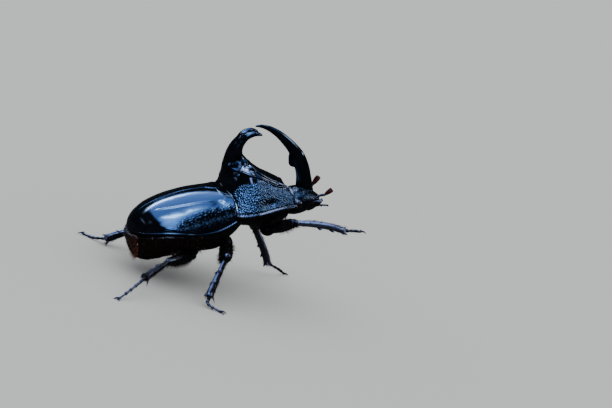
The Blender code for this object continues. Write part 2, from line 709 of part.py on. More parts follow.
def build_feeler(word, grown_head):
    """Feeler: bent stalk and a club of three leaves that join at the root."""
    stalk, tip, fan = FEELERS[word]
    path = [(*point, radius, radius) for point, radius in zip(stalk, STALK_RADII)]
    node = add_node("antenna_" + word, swept(smoothed(path, 2), 6, (0, 1, 0)), RED_BROWN, 0.3, stalk[0])
    leaves = []
    for spread in (-LEAF_SPREAD, 0.0, LEAF_SPREAD):
        end = Vector(tip) + Vector(fan) * spread
        leaf = [(*between(stalk[-1], end, share), wide, deep) for share, wide, deep in LEAF]
        leaves.append(swept(leaf, 6, (0, 1, 0)))
    fuse(node, leaves)
    carve(node, grown_head)


def build_pronotum(grown_head):
    """Pronotum with its forked horn, and the plate below it. Returns that plate."""
    pronotum = add_node("pronotum", pronotum_shape(), JET, 0.15)
    carve(pronotum, grown_head)
    stem = swept(smoothed(PRONOTUM_HORN, 2), 16, (0, 1, 0))
    horn = add_node("pronotum_horn", stem, JET, 0.12, PRONOTUM_HORN[0][:3])
    lobe = smoothed(HORN_LOBE, 2)
    fuse(horn, [swept([mirrored(point, side) for point in lobe], 10, (0, 1, 0)) for side in (1, -1)])
    carve(horn, add_cutter("grown_pronotum", pronotum_shape(GAP)))
    settle(horn)
    stations = smoothed(PROSTERNUM, 2)
    rings = [underside_ring(x, half_width, under_pronotum(x), low) for x, half_width, low in stations]
    prosternum = add_node("prosternum", lofted(rings), JET, 0.25)
    carve(prosternum, grown_head)
    return prosternum


def build_scutellum(elytra):
    """Small shield between the bases of the wing cases."""
    def shape(grow):
        rings = []
        for x, half in SCUTELLUM:
            surface = elytra_crest(x) - SUTURE_DIP
            top, low = surface + SCUTELLUM_TOP + grow, surface - SCUTELLUM_LOW - grow
            half, place = half + grow, x + (-grow if x == SCUTELLUM[0][0] else grow)
            rings.append([(place, -half, low), (place, half, low), (place, half, top),
                          (place, 0.0, top + SCUTELLUM_KEEL), (place, -half, top)])
        return lofted(rings)

    add_node("scutellum", shape(0.0), JET, 0.12)
    cutter = add_cutter("grown_scutellum", shape(GAP))
    for elytron in elytra:
        carve(elytron, cutter)


def leg_frame(leg):
    """Direction across the leg's bending plane, from its hip, knee and ankle."""
    hip, knee, ankle = (Vector(leg[joint]) for joint in ("hip", "knee", "ankle"))
    return (knee - hip).cross(ankle - knee).normalized()


def between(start, end, share):
    return tuple(a + (b - a) * share for a, b in zip(start, end))


def femur_path(leg, pair):
    deep = FEMUR_DEEP[pair]
    return [
        (*between(leg["hip"], leg["knee"], along), wide * deep, tall * deep)
        for along, wide, tall in FEMUR_SHAPE
    ]


def tibia_path(leg, pair):
    deep, flatness, arch = TIBIA_DEEP[pair], TIBIA_FLATNESS[pair], TIBIA_ARCH[pair]
    path = []
    for along, tall in TIBIA_SHAPE[pair]:
        x, y, z = between(leg["knee"], leg["ankle"], along)
        rise = arch * math.sin(math.pi * along**ARCH_LEAN)
        path.append((x + rise * UPRIGHT[0], y, z + rise * UPRIGHT[2], tall * deep, tall * deep * flatness))
    return path


def foot_path(leg):
    """Foot of five joints, each flaring to its far end."""
    route = smoothed([leg["ankle"], leg["arch"], leg["toe"]], 10)
    last = len(route) - 1
    path = []
    for joint in range(FOOT_JOINTS):
        for share, radius in FOOT_SHAPE:
            spot = (joint + share) / FOOT_JOINTS * last
            path.append((*route[min(int(round(spot)), last)], radius, radius))
    path.append((*route[-1], FOOT_END_RADIUS, FOOT_END_RADIUS))
    return path


def spine(root, direction, length, radius, sides=4):
    """Tapered thorn with its root sunk into what it grows from."""
    root, direction = Vector(root), Vector(direction).normalized()
    across = direction.orthogonal()
    middle_radius = radius * THORN_MIDDLE_RADIUS
    middle = clear_of_floor(root + direction * length * THORN_MIDDLE, SPINE_CLEARANCE + middle_radius)
    tip = clear_of_floor(root + direction * length, SPINE_CLEARANCE)
    path = [
        (*(root - direction * radius), radius, radius),
        (*middle, middle_radius, middle_radius),
        (*tip, THORN_TIP, THORN_TIP),
    ]
    return swept(path, sides, across)


def tibia_spines(leg, pair):
    """Teeth along the outer edge, a crown of thorns and the spurs at the far end."""
    knee, ankle, outer = Vector(leg["knee"]), Vector(leg["ankle"]), Vector(leg["outer"])
    along = (ankle - knee).normalized()
    outer = (outer - along * outer.dot(along)).normalized()
    side = along.cross(outer)
    depth = TIBIA_DEEP[pair] * THORN_DEPTH
    near_end = ankle - along * END_THORNS_BEFORE
    if pair == "fore":
        pieces = []
        for share, length, lean in FORE_TEETH:
            root = knee + (ankle - knee) * share + outer * depth
            pieces.append(spine(root, outer + along * lean, length, FORE_TOOTH_RADIUS, 7))
        for way in (-outer, -side):
            direction = way * END_THORN_SPLAY + along
            pieces.append(spine(near_end + way * depth, direction, END_THORN_LENGTH, THORN_RADIUS))
        return pieces

    def thorn(root, turn, splay, lean, length):
        way = outer * math.cos(turn) + side * math.sin(turn)
        return spine(root + way * depth, way * splay + along * lean, length, THORN_RADIUS)

    pieces = []
    for share in THORN_ROWS:
        for turn, length in ROW_THORNS:
            root = knee + (ankle - knee) * (share + ROW_TWIST * turn)
            pieces.append(thorn(root, turn, 1.0, ROW_LEAN, length))
    for turn in END_THORN_TURNS:
        pieces.append(thorn(near_end, turn, END_THORN_SPLAY, 1.0, END_THORN_LENGTH))
    for turn, length in SPURS:
        pieces.append(thorn(near_end, turn, 1.0, SPUR_LEAN, length))
    return pieces


def claws(leg):
    """Two hooks that spread from the end of the foot."""
    arch, toe = Vector(leg["arch"]), Vector(leg["toe"])
    along, up = (toe - arch).normalized(), Vector(UPRIGHT)
    side = along.cross(up).normalized()
    pieces = []
    for hand in (-1, 1):
        hook = []
        for forward, sideways, upwards, radius in CLAW:
            point = toe + (along * forward + side * sideways * hand + up * upwards) * CLAW_LENGTH
            hook.append((*point, radius, radius))
        pieces.append(swept(hook, 5, up))
    return pieces


def build_leg(name, floor):
    """Hip plate, thigh, shin with its spines, and foot with claws. Returns the hip's cutter."""
    leg = dict(LEGS[name])
    if name != RAISED_LEG:
        x, y, z = leg["toe"]
        leg["toe"] = (x, y, z - (over_floor(leg["toe"]) - TOE_HEIGHT) / math.cos(PITCH))
    pair, word = name.split("_")
    side = 1 if word == "left" else -1
    plane = leg_frame(leg)
    centre, radii = COXAE[pair]
    centre = mirrored(centre, side)
    add_node("coxa_" + name, ellipsoid(centre, radii), JET, 0.25, centre)
    hip_socket = add_cutter("grown_coxa_" + name, ellipsoid(centre, radii, GAP))
    thigh = smoothed(femur_path(leg, pair), 2)
    femur = add_node("femur_" + name, swept(thigh, 10, plane, dome=FEMUR_DOME), JET, 0.2, leg["hip"])
    carve(femur, hip_socket)
    settle(femur)
    shin = tibia_path(leg, pair)
    tibia = add_node("tibia_" + name, swept(shin, 8, leg["outer"]), JET, 0.2, leg["knee"])
    fuse(tibia, tibia_spines(leg, pair))
    carve(tibia, add_cutter("grown_femur_" + name, swept(thigh, 10, plane, GAP, FEMUR_DOME)))
    settle(tibia)
    foot = add_node("tarsus_" + name, swept(foot_path(leg), 6, plane), JET, 0.25, leg["ankle"])
    fuse(foot, claws(leg))
    carve(foot, add_cutter("grown_tibia_" + name, swept(shin, 8, leg["outer"], GAP)))
    carve(foot, floor)
    settle(foot)
    return hip_socket


def floor_cutter():
    """Block below the floor, which gives each foot its small flat."""
    bm = bmesh.new()
    bmesh.ops.create_cube(bm, size=0.2)
    bmesh.ops.translate(bm, verts=bm.verts[:], vec=(0.0, 0.0, -0.1))
    return add_cutter("below_floor", bm, root)


def build_beetle():
    elytra = [build_elytron("elytron_left", 1), build_elytron("elytron_right", -1)]
    abdomen, metathorax = build_abdomen(), build_metathorax()
    build_pygidium()
    mesosternum = build_mesosternum()
    build_scutellum(elytra)
    grown_head = build_head()
    for word in FEELERS:
        build_feeler(word, grown_head)
    prosternum = build_pronotum(grown_head)
    floor = floor_cutter()
    carriers = {"fore": [prosternum], "mid": [metathorax, mesosternum], "hind": [abdomen, metathorax]}
    for name in LEGS:
        socket = build_leg(name, floor)
        for plate in carriers[name.split("_")[0]]:
            carve(plate, socket)


def stand_on_origin():
    """Move the beetle so that the middle of its outline from above is over the origin."""
    bpy.context.view_layer.update()
    depsgraph = bpy.context.evaluated_depsgraph_get()
    spots = []
    for node in parts.objects:
        if node.type == "MESH":
            shape = node.evaluated_get(depsgraph)
            spots += [shape.matrix_world @ vertex.co for vertex in shape.data.vertices]
    low = [min(spot[axis] for spot in spots) for axis in range(3)]
    high = [max(spot[axis] for spot in spots) for axis in range(3)]
    root.location = (-(low[0] + high[0]) / 2, -(low[1] + high[1]) / 2, 0.0)


def shade_round():
    for node in parts.objects:
        if node.type == "MESH":
            node.data.shade_smooth()
            node.data.set_sharp_from_angle(angle=math.radians(45))


build_beetle()
stand_on_origin()
shade_round()
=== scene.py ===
"""Looks of the male rhinoceros beetle: fine shells, hairs, materials, floor, light and camera.

Shapes are drawn in the beetle's own body frame, in millimetres: x runs forward from the tail, y to
its left and z up from the side edges of the wing cases. to_world() pitches that frame nose up and
sets it over the floor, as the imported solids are.
"""

import math

import bpy
import numpy as np
from mathutils import Matrix, Vector


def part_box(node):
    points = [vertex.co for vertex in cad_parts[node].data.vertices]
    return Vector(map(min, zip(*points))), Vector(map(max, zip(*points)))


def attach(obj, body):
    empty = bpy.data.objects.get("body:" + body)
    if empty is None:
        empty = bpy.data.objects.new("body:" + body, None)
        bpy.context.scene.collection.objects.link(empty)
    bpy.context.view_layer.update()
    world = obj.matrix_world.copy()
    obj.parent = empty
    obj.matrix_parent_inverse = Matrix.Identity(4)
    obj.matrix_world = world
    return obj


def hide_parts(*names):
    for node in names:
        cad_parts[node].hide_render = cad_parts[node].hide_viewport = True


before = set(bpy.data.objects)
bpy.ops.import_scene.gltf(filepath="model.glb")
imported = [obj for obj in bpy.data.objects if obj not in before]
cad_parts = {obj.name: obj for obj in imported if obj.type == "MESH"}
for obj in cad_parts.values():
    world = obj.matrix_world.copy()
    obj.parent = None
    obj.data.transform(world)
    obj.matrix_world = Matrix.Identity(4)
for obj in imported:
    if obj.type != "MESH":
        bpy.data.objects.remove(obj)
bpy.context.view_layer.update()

MM = 0.001
SIDES = ((1, "left"), (-1, "right"))
PITCH = math.radians(20.76)
BODY_HEIGHT = 9.33
EYE = (44.4, 4.9, 0.7)
EYE_RADII = (1.3, 1.2, 1.35)

# Wing cases
ELYTRA_APEX, ELYTRA_WIDEST, ELYTRA_FRONT = 1.0, 13.5, 24.7
ELYTRA_HALF_WIDTH, SHOULDER_HALF_WIDTH, PLAN_POWER = 12.0, 10.8, 1.84
ELYTRA_CREST, ELYTRA_CREST_AT, CREST_POWER, SHOULDER_DROP = 7.85, 18.5, 1.9, 0.45
ELYTRA_SECTION = [(2.0, 1.65), (6.0, 1.6), (10.0, 1.6), (14.0, 1.75), (18.0, 1.95), (24.0, 2.06)]
ELYTRA_EDGE = [
    (0.9, 0.55), (4.2, 1.05), (8.0, 1.45), (11.4, 1.2), (15.5, 0.3), (19.0, 0.0), (22.3, 0.5), (25.8, 2.0),
]
# Bow of the seam behind the pronotum: (distance from the middle, forward shift)
SEAM = [(0.0, -0.5), (2.4, -0.1), (4.0, 0.5), (5.7, 1.65), (7.4, 2.08), (9.0, 1.9), (10.7, 1.65), (12.0, 1.6)]
SEAM_REACH = 9.0
SUTURE_HALF_GAP, SUTURE_DIP = 0.05, 0.06
SHELL = 0.4  # visible thickness of a wing case
# Bead along the edge: its radius and that at the tip, its middle's place from the edge, its arc in degrees
BEAD_RADIUS, BEAD_TIP_RADIUS = 0.22, 0.12
BEAD_OUTWARD, BEAD_DROP, BEAD_ARC = 0.16, 0.28, (115, -130)

# Pronotum stations: x, half width, edge height, crest height, distance of the crests from the middle
PRONOTUM = [
    (25.0, 10.9, 2.6, 7.9, 0.8),
    (26.5, 11.5, 2.4, 10.0, 1.2),
    (28.5, 11.8, 2.2, 11.6, 2.4),
    (31.0, 11.8, 2.1, 12.8, 3.4),
    (33.0, 11.4, 2.0, 12.6, 3.6),
    (34.8, 10.8, 1.9, 11.4, 3.5),
    (37.0, 9.9, 1.8, 9.45, 3.5),
    (39.8, 8.9, 1.6, 7.35, 3.5),
    (42.0, 8.1, 1.3, 5.85, 3.6),
    (43.2, 7.6, 1.1, 5.05, 3.8),
]
PRONOTUM_REAR, PRONOTUM_FRONT = 25.0, 43.2
PRONOTUM_RIM = 0.45
HOLLOW_DEPTH = 0.9
# The hollow between the crests and the flatter sides come in between these places
FORE_START, FORE_END = 30.0, 38.0
# Side slope of the pronotum: inner and outer power behind, and their change to the front
SIDE_RISE, SIDE_RISE_FORE = 1.25, 0.55
SIDE_FALL, SIDE_FALL_FORE = 0.88, -0.16
# Horns, up their middles: x, y, z, half across, half deep
PRONOTUM_HORN = [
    (30.4, 0.0, 8.6, 5.6, 4.9),
    (30.3, 0.0, 10.8, 4.6, 4.4),
    (29.95, 0.0, 13.0, 3.4, 3.35),
    (29.95, 0.0, 15.0, 2.8, 2.4),
    (30.45, 0.0, 16.6, 2.5, 1.8),
    (31.35, 0.0, 17.95, 2.35, 1.38),
    (32.65, 0.0, 19.05, 2.2, 1.08),
    (34.0, 0.0, 19.6, 1.7, 0.75),
]
HORN_LOBE = [
    (31.6, 0.9, 18.35, 1.15, 0.95),
    (33.2, 1.4, 19.65, 1.15, 0.85),
    (35.0, 1.65, 20.1, 1.0, 0.68),
    (36.4, 1.75, 19.8, 0.65, 0.45),
    (37.1, 1.75, 19.4, 0.25, 0.18),
]
# Head stations: x, half width, middle height, top, bottom
HEAD = [
    (41.0, 3.4, 0.5, 2.2, -2.0),
    (42.2, 4.4, 0.5, 2.7, -2.7),
    (44.0, 5.2, 0.4, 3.2, -3.1),
    (45.8, 5.0, 0.4, 3.8, -3.1),
    (47.4, 4.3, 0.3, 3.7, -2.8),
    (49.0, 3.5, 0.3, 3.0, -2.1),
    (50.3, 2.9, 0.3, 1.9, -1.3),
    (51.2, 2.3, 0.3, 1.1, -0.6),
]
HEAD_HORN = [
    (47.9, 0.0, 1.4, 2.1, 2.4),
    (48.0, 0.0, 4.0, 1.95, 2.2),
    (48.0, 0.0, 6.6, 1.75, 1.95),
    (47.6, 0.0, 9.2, 1.55, 1.85),
    (46.8, 0.0, 11.8, 1.4, 1.75),
    (45.5, 0.0, 14.2, 1.2, 1.45),
    (43.8, 0.0, 16.5, 1.0, 1.2),
    (42.1, 0.0, 18.4, 0.85, 0.98),
    (40.3, 0.0, 19.9, 0.7, 0.78),
    (38.8, 0.0, 20.8, 0.55, 0.6),
    (37.3, 0.0, 21.35, 0.4, 0.4),
    (36.1, 0.0, 21.5, 0.22, 0.2),
]
# Broad tooth behind the horn, from its upper end down to its corner
HORN_TOOTH = [
    (45.5, 0.0, 13.4, 0.6, 0.75),
    (45.35, 0.0, 12.2, 0.7, 1.05),
    (45.3, 0.0, 11.0, 0.6, 1.12),
    (45.2, 0.0, 10.2, 0.4, 0.95),
    (45.9, 0.0, 9.3, 0.25, 0.4),
]
HEAD_POLES = ((40.4, 0.0, 0.5), (52.0, 0.0, 0.25))


def pitched(points):
    """Body-frame points turned nose up and raised over the floor, in millimetres."""
    points = np.asarray(points, float)
    x, y, z = points[..., 0], points[..., 1], points[..., 2]
    return np.stack([
        x * math.cos(PITCH) - z * math.sin(PITCH),
        y,
        x * math.sin(PITCH) + z * math.cos(PITCH) + BODY_HEIGHT,
    ], -1)


low_corner, high_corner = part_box("eye_left")
SHIFT = np.array((low_corner + high_corner) / 2) / MM - pitched(EYE)


def to_world(points):
    return (pitched(points) + SHIFT) * MM


# Curves and noise

def curve(stations, x, column=1):
    """Smooth curve through the stations' column at each x, level beyond both ends."""
    xs, ys = np.array(stations)[:, [0, column]].T
    place = np.arange(len(xs))
    before, after = np.maximum(place - 1, 0), np.minimum(place + 1, place[-1])
    slopes = (ys[after] - ys[before]) / (xs[after] - xs[before])
    x = np.clip(x, xs[0], xs[-1])
    i = np.clip(np.searchsorted(xs, x, "right") - 1, 0, len(xs) - 2)
    span = xs[i + 1] - xs[i]
    t = (x - xs[i]) / span
    return (
        ys[i] * (1 + 2 * t) * (1 - t) ** 2
        + ys[i + 1] * t * t * (3 - 2 * t)
        + slopes[i] * span * t * (1 - t) ** 2
        - slopes[i + 1] * span * t * t * (1 - t)
    )


def smoothed(stations, steps):
    """Stations of a Catmull-Rom curve through the given ones."""
    given = np.array(stations, float)
    padded = np.vstack([given[0], given, given[-1]])
    t = (np.arange(steps) / steps)[:, None]
    rows = []
    for a, b, c, d in zip(padded, padded[1:], padded[2:], padded[3:]):
        square, cube = 2 * a - 5 * b + 4 * c - d, 3 * b - 3 * c + d - a
        rows.append(0.5 * (2 * b + (c - a) * t + square * t**2 + cube * t**3))
    return np.vstack([*rows, given[-1:]])


def step_up(value, low, high):
    """Smooth step from 0 at low to 1 at high."""
    t = np.clip((value - low) / (high - low), 0, 1)
    return t * t * (3 - 2 * t)


def ridge(value, centre, width):
    """Bell of height 1 where the value is at the centre, falling to 1/e at the width from it."""
    return np.exp(-(((value - centre) / width) ** 2))


def hashed(cells, seed):
    """Repeatable random number from 0 to 1 for each integer cell."""
    cells = cells.astype(np.int64).astype(np.uint32)
    code = cells[..., 0] * np.uint32(374761393) + cells[..., 1] * np.uint32(668265263)
    code = code + cells[..., 2] * np.uint32(2246822519) + np.uint32(seed * 3266489 + 17)
    for shift, factor in ((13, 1274126177), (15, 2654435761)):
        code = (code ^ (code >> np.uint32(shift))) * np.uint32(factor)
    return (code ^ (code >> np.uint32(16))).astype(float) / 2**32


def noise(points, size, seed):
    """Smooth noise from -1 to 1 with features of the given size, which may differ along x, y and z."""
    spots = points / np.asarray(size, float)
    base = np.floor(spots)
    t = step_up(spots - base, 0, 1)
    total = np.zeros(len(points))
    for corner in np.ndindex(2, 2, 2):
        total += np.prod(np.where(corner, t, 1 - t), axis=1) * hashed(base + corner, seed)
    return total * 2 - 1


NO_SITE = 9.0  # distance, in cells, that stands for none near


def nearest_site(points, size, seed, share=1.0):
    """Distance in cells of the given size to the nearest site. The share of the cells has one each."""
    spots = points / size
    base = np.floor(spots)
    best = np.full(len(points), NO_SITE)
    for corner in np.ndindex(3, 3, 3):
        cell = base + np.array(corner) - 1
        site = cell + np.stack([hashed(cell, seed + k) for k in (1, 2, 3)], -1)
        gap = np.linalg.norm(spots - site, axis=1)
        best = np.minimum(best, np.where(hashed(cell, seed + 4) <= share, gap, NO_SITE))
    return best


def pits(points, size, radius, seed, share):
    """Round pits with raised lips: -1 at a pit's bottom, 0 between pits. The radius is in cells."""
    gap = nearest_site(points, size, seed, share) / radius
    return 0.2 * ridge(gap, 1.1, 0.3) - np.clip(1 - gap**2, 0, 1) ** 1.5


def on_left(points):
    """The points, with those of the right side moved to their place on the left."""
    return points * (1, 0, 1) + np.abs(points) * (0, 1, 0)


def swells(points, places):
    """Sum of bells on both sides of the body: each has a centre, a reach along x, y and z and a height."""
    spots = on_left(points)
    return sum(height * np.exp(-(((spots - centre) / reach) ** 2).sum(1)) for centre, reach, height in places)


def line_distance(points, line):
    """Distance to a line through the given points, the same on both sides of the body."""
    spots = on_left(points)
    route = smoothed(line, 6)
    best = np.full(len(points), 1e9)
    for start, end in zip(route, route[1:]):
        along = end - start
        t = np.clip((spots - start) @ along / (along @ along), 0, 1)
        best = np.minimum(best, np.linalg.norm(spots - start - t[:, None] * along, axis=1))
    return best


def unit(vectors):
    """A vector, or each row of several, at length 1."""
    vectors = np.asarray(vectors, float)
    return vectors / np.maximum(np.linalg.norm(vectors, axis=-1, keepdims=True), 1e-12)


def between(start, end, share):
    return start + (end - start) * share


def columns(table):
    """Each column of a table, upright, to go with a row vector."""
    return np.array(table).T[..., None]


# Forms: a form is its points and a list of face arrays, each of quads or of triangles

def loft(rings, start=None, end=None):
    """Closed form through rings of equal count, ending in poles, or in fans to their middles."""
    rings = np.asarray(rings, float)
    count, width = rings.shape[:2]
    index = np.arange(count * width).reshape(count, width)
    after = np.roll(index, -1, axis=1)
    quads = np.stack([index[:-1], after[:-1], after[1:], index[1:]], -1).reshape(-1, 4)
    start = rings[0].mean(0) if start is None else start
    end = rings[-1].mean(0) if end is None else end
    first = np.stack([after[0], index[0], np.full(width, count * width)], -1)
    last = np.stack([index[-1], after[-1], np.full(width, count * width + 1)], -1)
    return np.vstack([rings.reshape(-1, 3), start, end]), [quads, np.vstack([first, last])]


def joined(forms):
    points, faces, offset = [], [], 0
    for form_points, form_faces in forms:
        points.append(form_points)
        faces += [group + offset for group in form_faces]
        offset += len(form_points)
    return np.vstack(points), faces


def swept(path, sides, across, dome=0.5, wave=None):
    """Oval tube along stations of (x, y, z, half across, half deep), with domed ends.

    wave(turn, share) may scale each ring's radius round the tube and along it."""
    path = np.asarray(path, float)
    centres = path[:, :3]
    along = unit(np.gradient(centres, axis=0))
    wide = unit(across - along * (along @ across)[:, None])
    deep = np.cross(along, wide)
    turn = np.arange(sides) / sides * 2 * math.pi
    share = np.linspace(0, 1, len(path))[:, None]
    scale = wave(turn[None, :], share) if wave else np.ones((len(path), sides))
    rings = (
        centres[:, None]
        + wide[:, None] * (path[:, 3, None] * np.cos(turn) * scale)[..., None]
        + deep[:, None] * (path[:, 4, None] * np.sin(turn) * scale)[..., None]
    )
    domes, tips = [], []
    for end, towards in ((0, -along[0]), (-1, along[-1])):
        outward = towards * path[end, 4] * dome
        tips.append(centres[end] + outward)
        for lift in (0.35, 0.65, 0.87):
            shrunk = (rings[end] - centres[end]) * math.sqrt(1 - lift**2)
            domes.append(centres[end] + shrunk + outward * lift)
    return loft(np.concatenate([np.array(domes[2::-1]), rings, np.array(domes[3:])]), *tips)


def ellipsoid(centre, radii, segments=48, rows=32):
    turns = np.linspace(0, math.pi, rows + 2)[1:-1]
    around = np.arange(segments) / segments * 2 * math.pi
    rings = np.stack([
        np.sin(turns)[:, None] * np.cos(around),
        np.sin(turns)[:, None] * np.sin(around),
        np.cos(turns)[:, None] * np.ones(segments),
    ], -1)
    pole = np.array((0, 0, radii[2]))
    return loft(rings * radii + centre, centre + pole, centre - pole)


def triangles_of(points, faces):
    """The corners of a form's triangles as numbers and as places, and their outward area vectors."""
    corners = np.vstack([group[:, [0, k, k + 1]] for group in faces for k in range(1, group.shape[1] - 1)])
    a, b, c = points[corners.T]
    return corners, (a, b, c), np.cross(b - a, c - a)


def normals_of(points, faces):
    corners, _, areas = triangles_of(points, faces)
    normals = np.zeros_like(points)
    for axis in range(3):
        for corner in range(3):
            normals[:, axis] += np.bincount(corners[:, corner], areas[:, axis], len(points))
    return unit(normals)


def relaxed(form, rounds):
    """Evens out small steps without shrinking the form."""
    points, faces = form
    pairs = np.vstack([np.stack([g, np.roll(g, -1, axis=1)], -1).reshape(-1, 2) for g in faces])
    pairs = np.unique(np.sort(pairs, axis=1), axis=0)
    a, b = pairs[:, 0], pairs[:, 1]
    count = np.bincount(np.concatenate([a, b]), minlength=len(points))[:, None]
    for factor in (0.5, -0.52) * rounds:
        total = np.stack([
            np.bincount(a, points[b, axis], len(points)) + np.bincount(b, points[a, axis], len(points))
            for axis in range(3)
        ], -1)
        points = points + factor * (total / count - points)
    return points, faces


def mesh_of(name, points, faces):
    mesh = bpy.data.meshes.new(name)
    mesh.vertices.add(len(points))
    mesh.vertices.foreach_set("co", points.astype(np.float32).ravel())
    corners = np.concatenate([group.ravel() for group in faces])
    sizes = np.concatenate([np.full(len(group), group.shape[1]) for group in faces])
    mesh.loops.add(len(corners))
    mesh.loops.foreach_set("vertex_index", corners.astype(np.int32))
    mesh.polygons.add(len(sizes))
    mesh.polygons.foreach_set("loop_start", (np.cumsum(sizes) - sizes).astype(np.int32))
    mesh.update(calc_edges=True)
    return mesh


def read(items, attribute, kind, width=1):
    """The attribute of all items of a mesh, as one flat array."""
    values = np.empty(len(items) * width, kind)
    items.foreach_get(attribute, values)
    return values


def form_of(mesh):
    points = read(mesh.vertices, "co", np.float32, 3).reshape(-1, 3).astype(float)
    corners = read(mesh.loops, "vertex_index", np.int32)
    starts = read(mesh.polygons, "loop_start", np.int32)
    sizes = np.diff(np.append(starts, len(corners)))
    firsts = [(size, starts[sizes == size]) for size in (3, 4)]
    return points, [corners[first[:, None] + np.arange(size)] for size, first in firsts if len(first)]


def remeshed(forms, voxel, rounds):
    """Union of overlapping closed forms as one even, rounded skin."""
    piece = bpy.data.objects.new("blank", mesh_of("blank", *joined(forms)))
    bpy.context.scene.collection.objects.link(piece)
    remesh = piece.modifiers.new("skin", "REMESH")
    remesh.mode, remesh.voxel_size = "VOXEL", voxel
    form = form_of(piece.evaluated_get(bpy.context.evaluated_depsgraph_get()).data)
    bpy.data.objects.remove(piece)
    return relaxed(form, rounds)


def displaced(form, relief):
    """The form with each point moved outward by relief(points)."""
    points, faces = form
    return points + normals_of(points, faces) * relief(points)[:, None], faces


def add_piece(name, form, look, replaces=(), normals=None):
    """Visible piece from a form in the body frame. It stands for the named solids."""
    points, faces = form
    mesh = mesh_of(name, to_world(points), faces)
    mesh.materials.append(looks[look])
    mesh.shade_smooth()
    if normals is not None:
        turned = pitched(points + normals) - pitched(points)
        mesh.normals_split_custom_set_from_vertices(turned.tolist())
    piece = bpy.data.objects.new(name, mesh)
    bpy.context.scene.collection.objects.link(piece)
    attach(piece, "root")
    if replaces:
        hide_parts(*replaces)
    return piece


def split_off(form, chosen, normals=None):
    """The part of a form whose points are chosen, and the rest, both with the normals of the whole."""
    points, faces = form
    if normals is None:
        normals = normals_of(points, faces)
    halves = []
    for wanted in (True, False):
        groups = [group[(chosen[group].mean(1) > 0.5) == wanted] for group in faces]
        groups = [group for group in groups if len(group)]
        used = np.unique(np.concatenate([group.ravel() for group in groups]))
        order = np.zeros(len(points), int)
        order[used] = np.arange(len(used))
        halves.append(((points[used], [order[group] for group in groups]), normals[used]))
    return halves


# Materials

def feed(tree, node, inputs):
    """Sets the inputs of a node, or links those that are given as sockets."""
    for name, value in inputs.items():
        if isinstance(value, bpy.types.NodeSocket):
            tree.links.new(value, node.inputs[name])
        else:
            node.inputs[name].default_value = value


def wired(tree, kind, output, inputs, **settings):
    """Output of a new shader node with the given inputs and settings."""
    node = tree.nodes.new("ShaderNode" + kind)
    for name, value in settings.items():
        setattr(node, name, value)
    feed(tree, node, inputs)
    return node.outputs[output]


def toned(tree, share, low, high, start=0.0, end=1.0):
    """Colour that goes from low to high as the share goes from start to end."""
    node = tree.nodes.new("ShaderNodeValToRGB")
    feed(tree, node, {"Fac": share})
    for stop, place, colour in zip(node.color_ramp.elements, (start, end), (low, high)):
        stop.position, stop.color = place, (*colour, 1)
    return node.outputs["Color"]


def blotches(tree, place, scale, detail):
    return wired(tree, "TexNoise", "Fac", {"Vector": place, "Scale": scale, "Detail": detail})


def new_material(name):
    material = bpy.data.materials.new(name)
    material.use_nodes = True
    return material, material.node_tree, material.node_tree.nodes["Principled BSDF"]


def chitin(name, colour, worn, roughness, ior, tint, grain, pit_size=0.5, pit_depth=0.0):
    """Horn-like shell: dark, with worn patches, a tinted gloss, fine grain and pits. Sky-blue and violet
    tints paint reflection colour into the gloss.
    """
    material, tree, shader = new_material(name)
    place = wired(tree, "TexCoord", "Object", {})
    tone = toned(tree, blotches(tree, place, *PATCHES), colour, worn, *WORN_BETWEEN)
    smear = blotches(tree, place, *SMEARS)
    limits = {"To Min": roughness * GLOSS_SPREAD[0], "To Max": roughness * GLOSS_SPREAD[1]}
    gloss = wired(tree, "MapRange", "Result", {"Value": smear, **limits})
    skin = blotches(tree, place, *GRAIN)
    normal = wired(tree, "Bump", "Normal", {"Height": skin, "Strength": grain, "Distance": GRAIN_HEIGHT})
    if pit_depth:
        cells = wired(tree, "TexVoronoi", "Distance", {"Vector": place, "Scale": 1 / (pit_size * MM)})
        dip = wired(tree, "MapRange", "Result", {"Value": cells, "From Max": PIT_SHARE})
        pitted = {"Height": dip, "Strength": pit_depth, "Distance": PIT_DEPTH, "Normal": normal}
        normal = wired(tree, "Bump", "Normal", pitted)
    feed(tree, shader, {"Base Color": tone, "Roughness": gloss, "Normal": normal})
    # The tint colours the gloss: the sky-blue and violet tints are painted reflection colour.
    feed(tree, shader, {"IOR": ior, "Specular Tint": (*tint, 1)})
    return material


def hair_material(name, root_colour, tip_colour):
    """Stiff red-brown hair, with every hair a little lighter or darker."""
    material, tree, shader = new_material(name)
    shades = blotches(tree, wired(tree, "TexCoord", "Object", {}), *HAIR_SHADES)
    tone = toned(tree, shades, root_colour, tip_colour, 0.3, 0.7)
    feed(tree, shader, {"Base Color": tone, "Roughness": HAIR_ROUGHNESS})
    return material


# Blotches of the surface: how many to the metre, and their detail
PATCHES, SMEARS, GRAIN, HAIR_SHADES = (420.0, 6.0), (900.0, 4.0), (3800.0, 3.0), (1600.0, 2.0)
WORN_BETWEEN = (0.42, 0.72)  # where the shell's colour ends and the worn colour is full
GLOSS_SPREAD = (0.75, 1.35)  # least and most roughness, as shares of the shell's own
GRAIN_HEIGHT, PIT_DEPTH = 0.00004, 0.00006  # metres
PIT_SHARE = 0.38  # radius of a pit as a share of its cell
HAIR_ROUGHNESS = 0.38
JET, JET_WORN = (0.0018, 0.0022, 0.0036), (0.0035, 0.0045, 0.008)
# Tints of the gloss. The sky-blue and violet ones are painted reflection colour: under any lamp they give the
# black shells' gloss the colour of sky light.
PAINTED_SKY_BLUE_SHEEN, PAINTED_VIOLET_SHEEN, NEUTRAL, WARM = (0.35, 0.64, 1.0), (0.66, 0.72, 1.0), (0.7, 0.8, 1.0), (1.0, 0.82, 0.75)
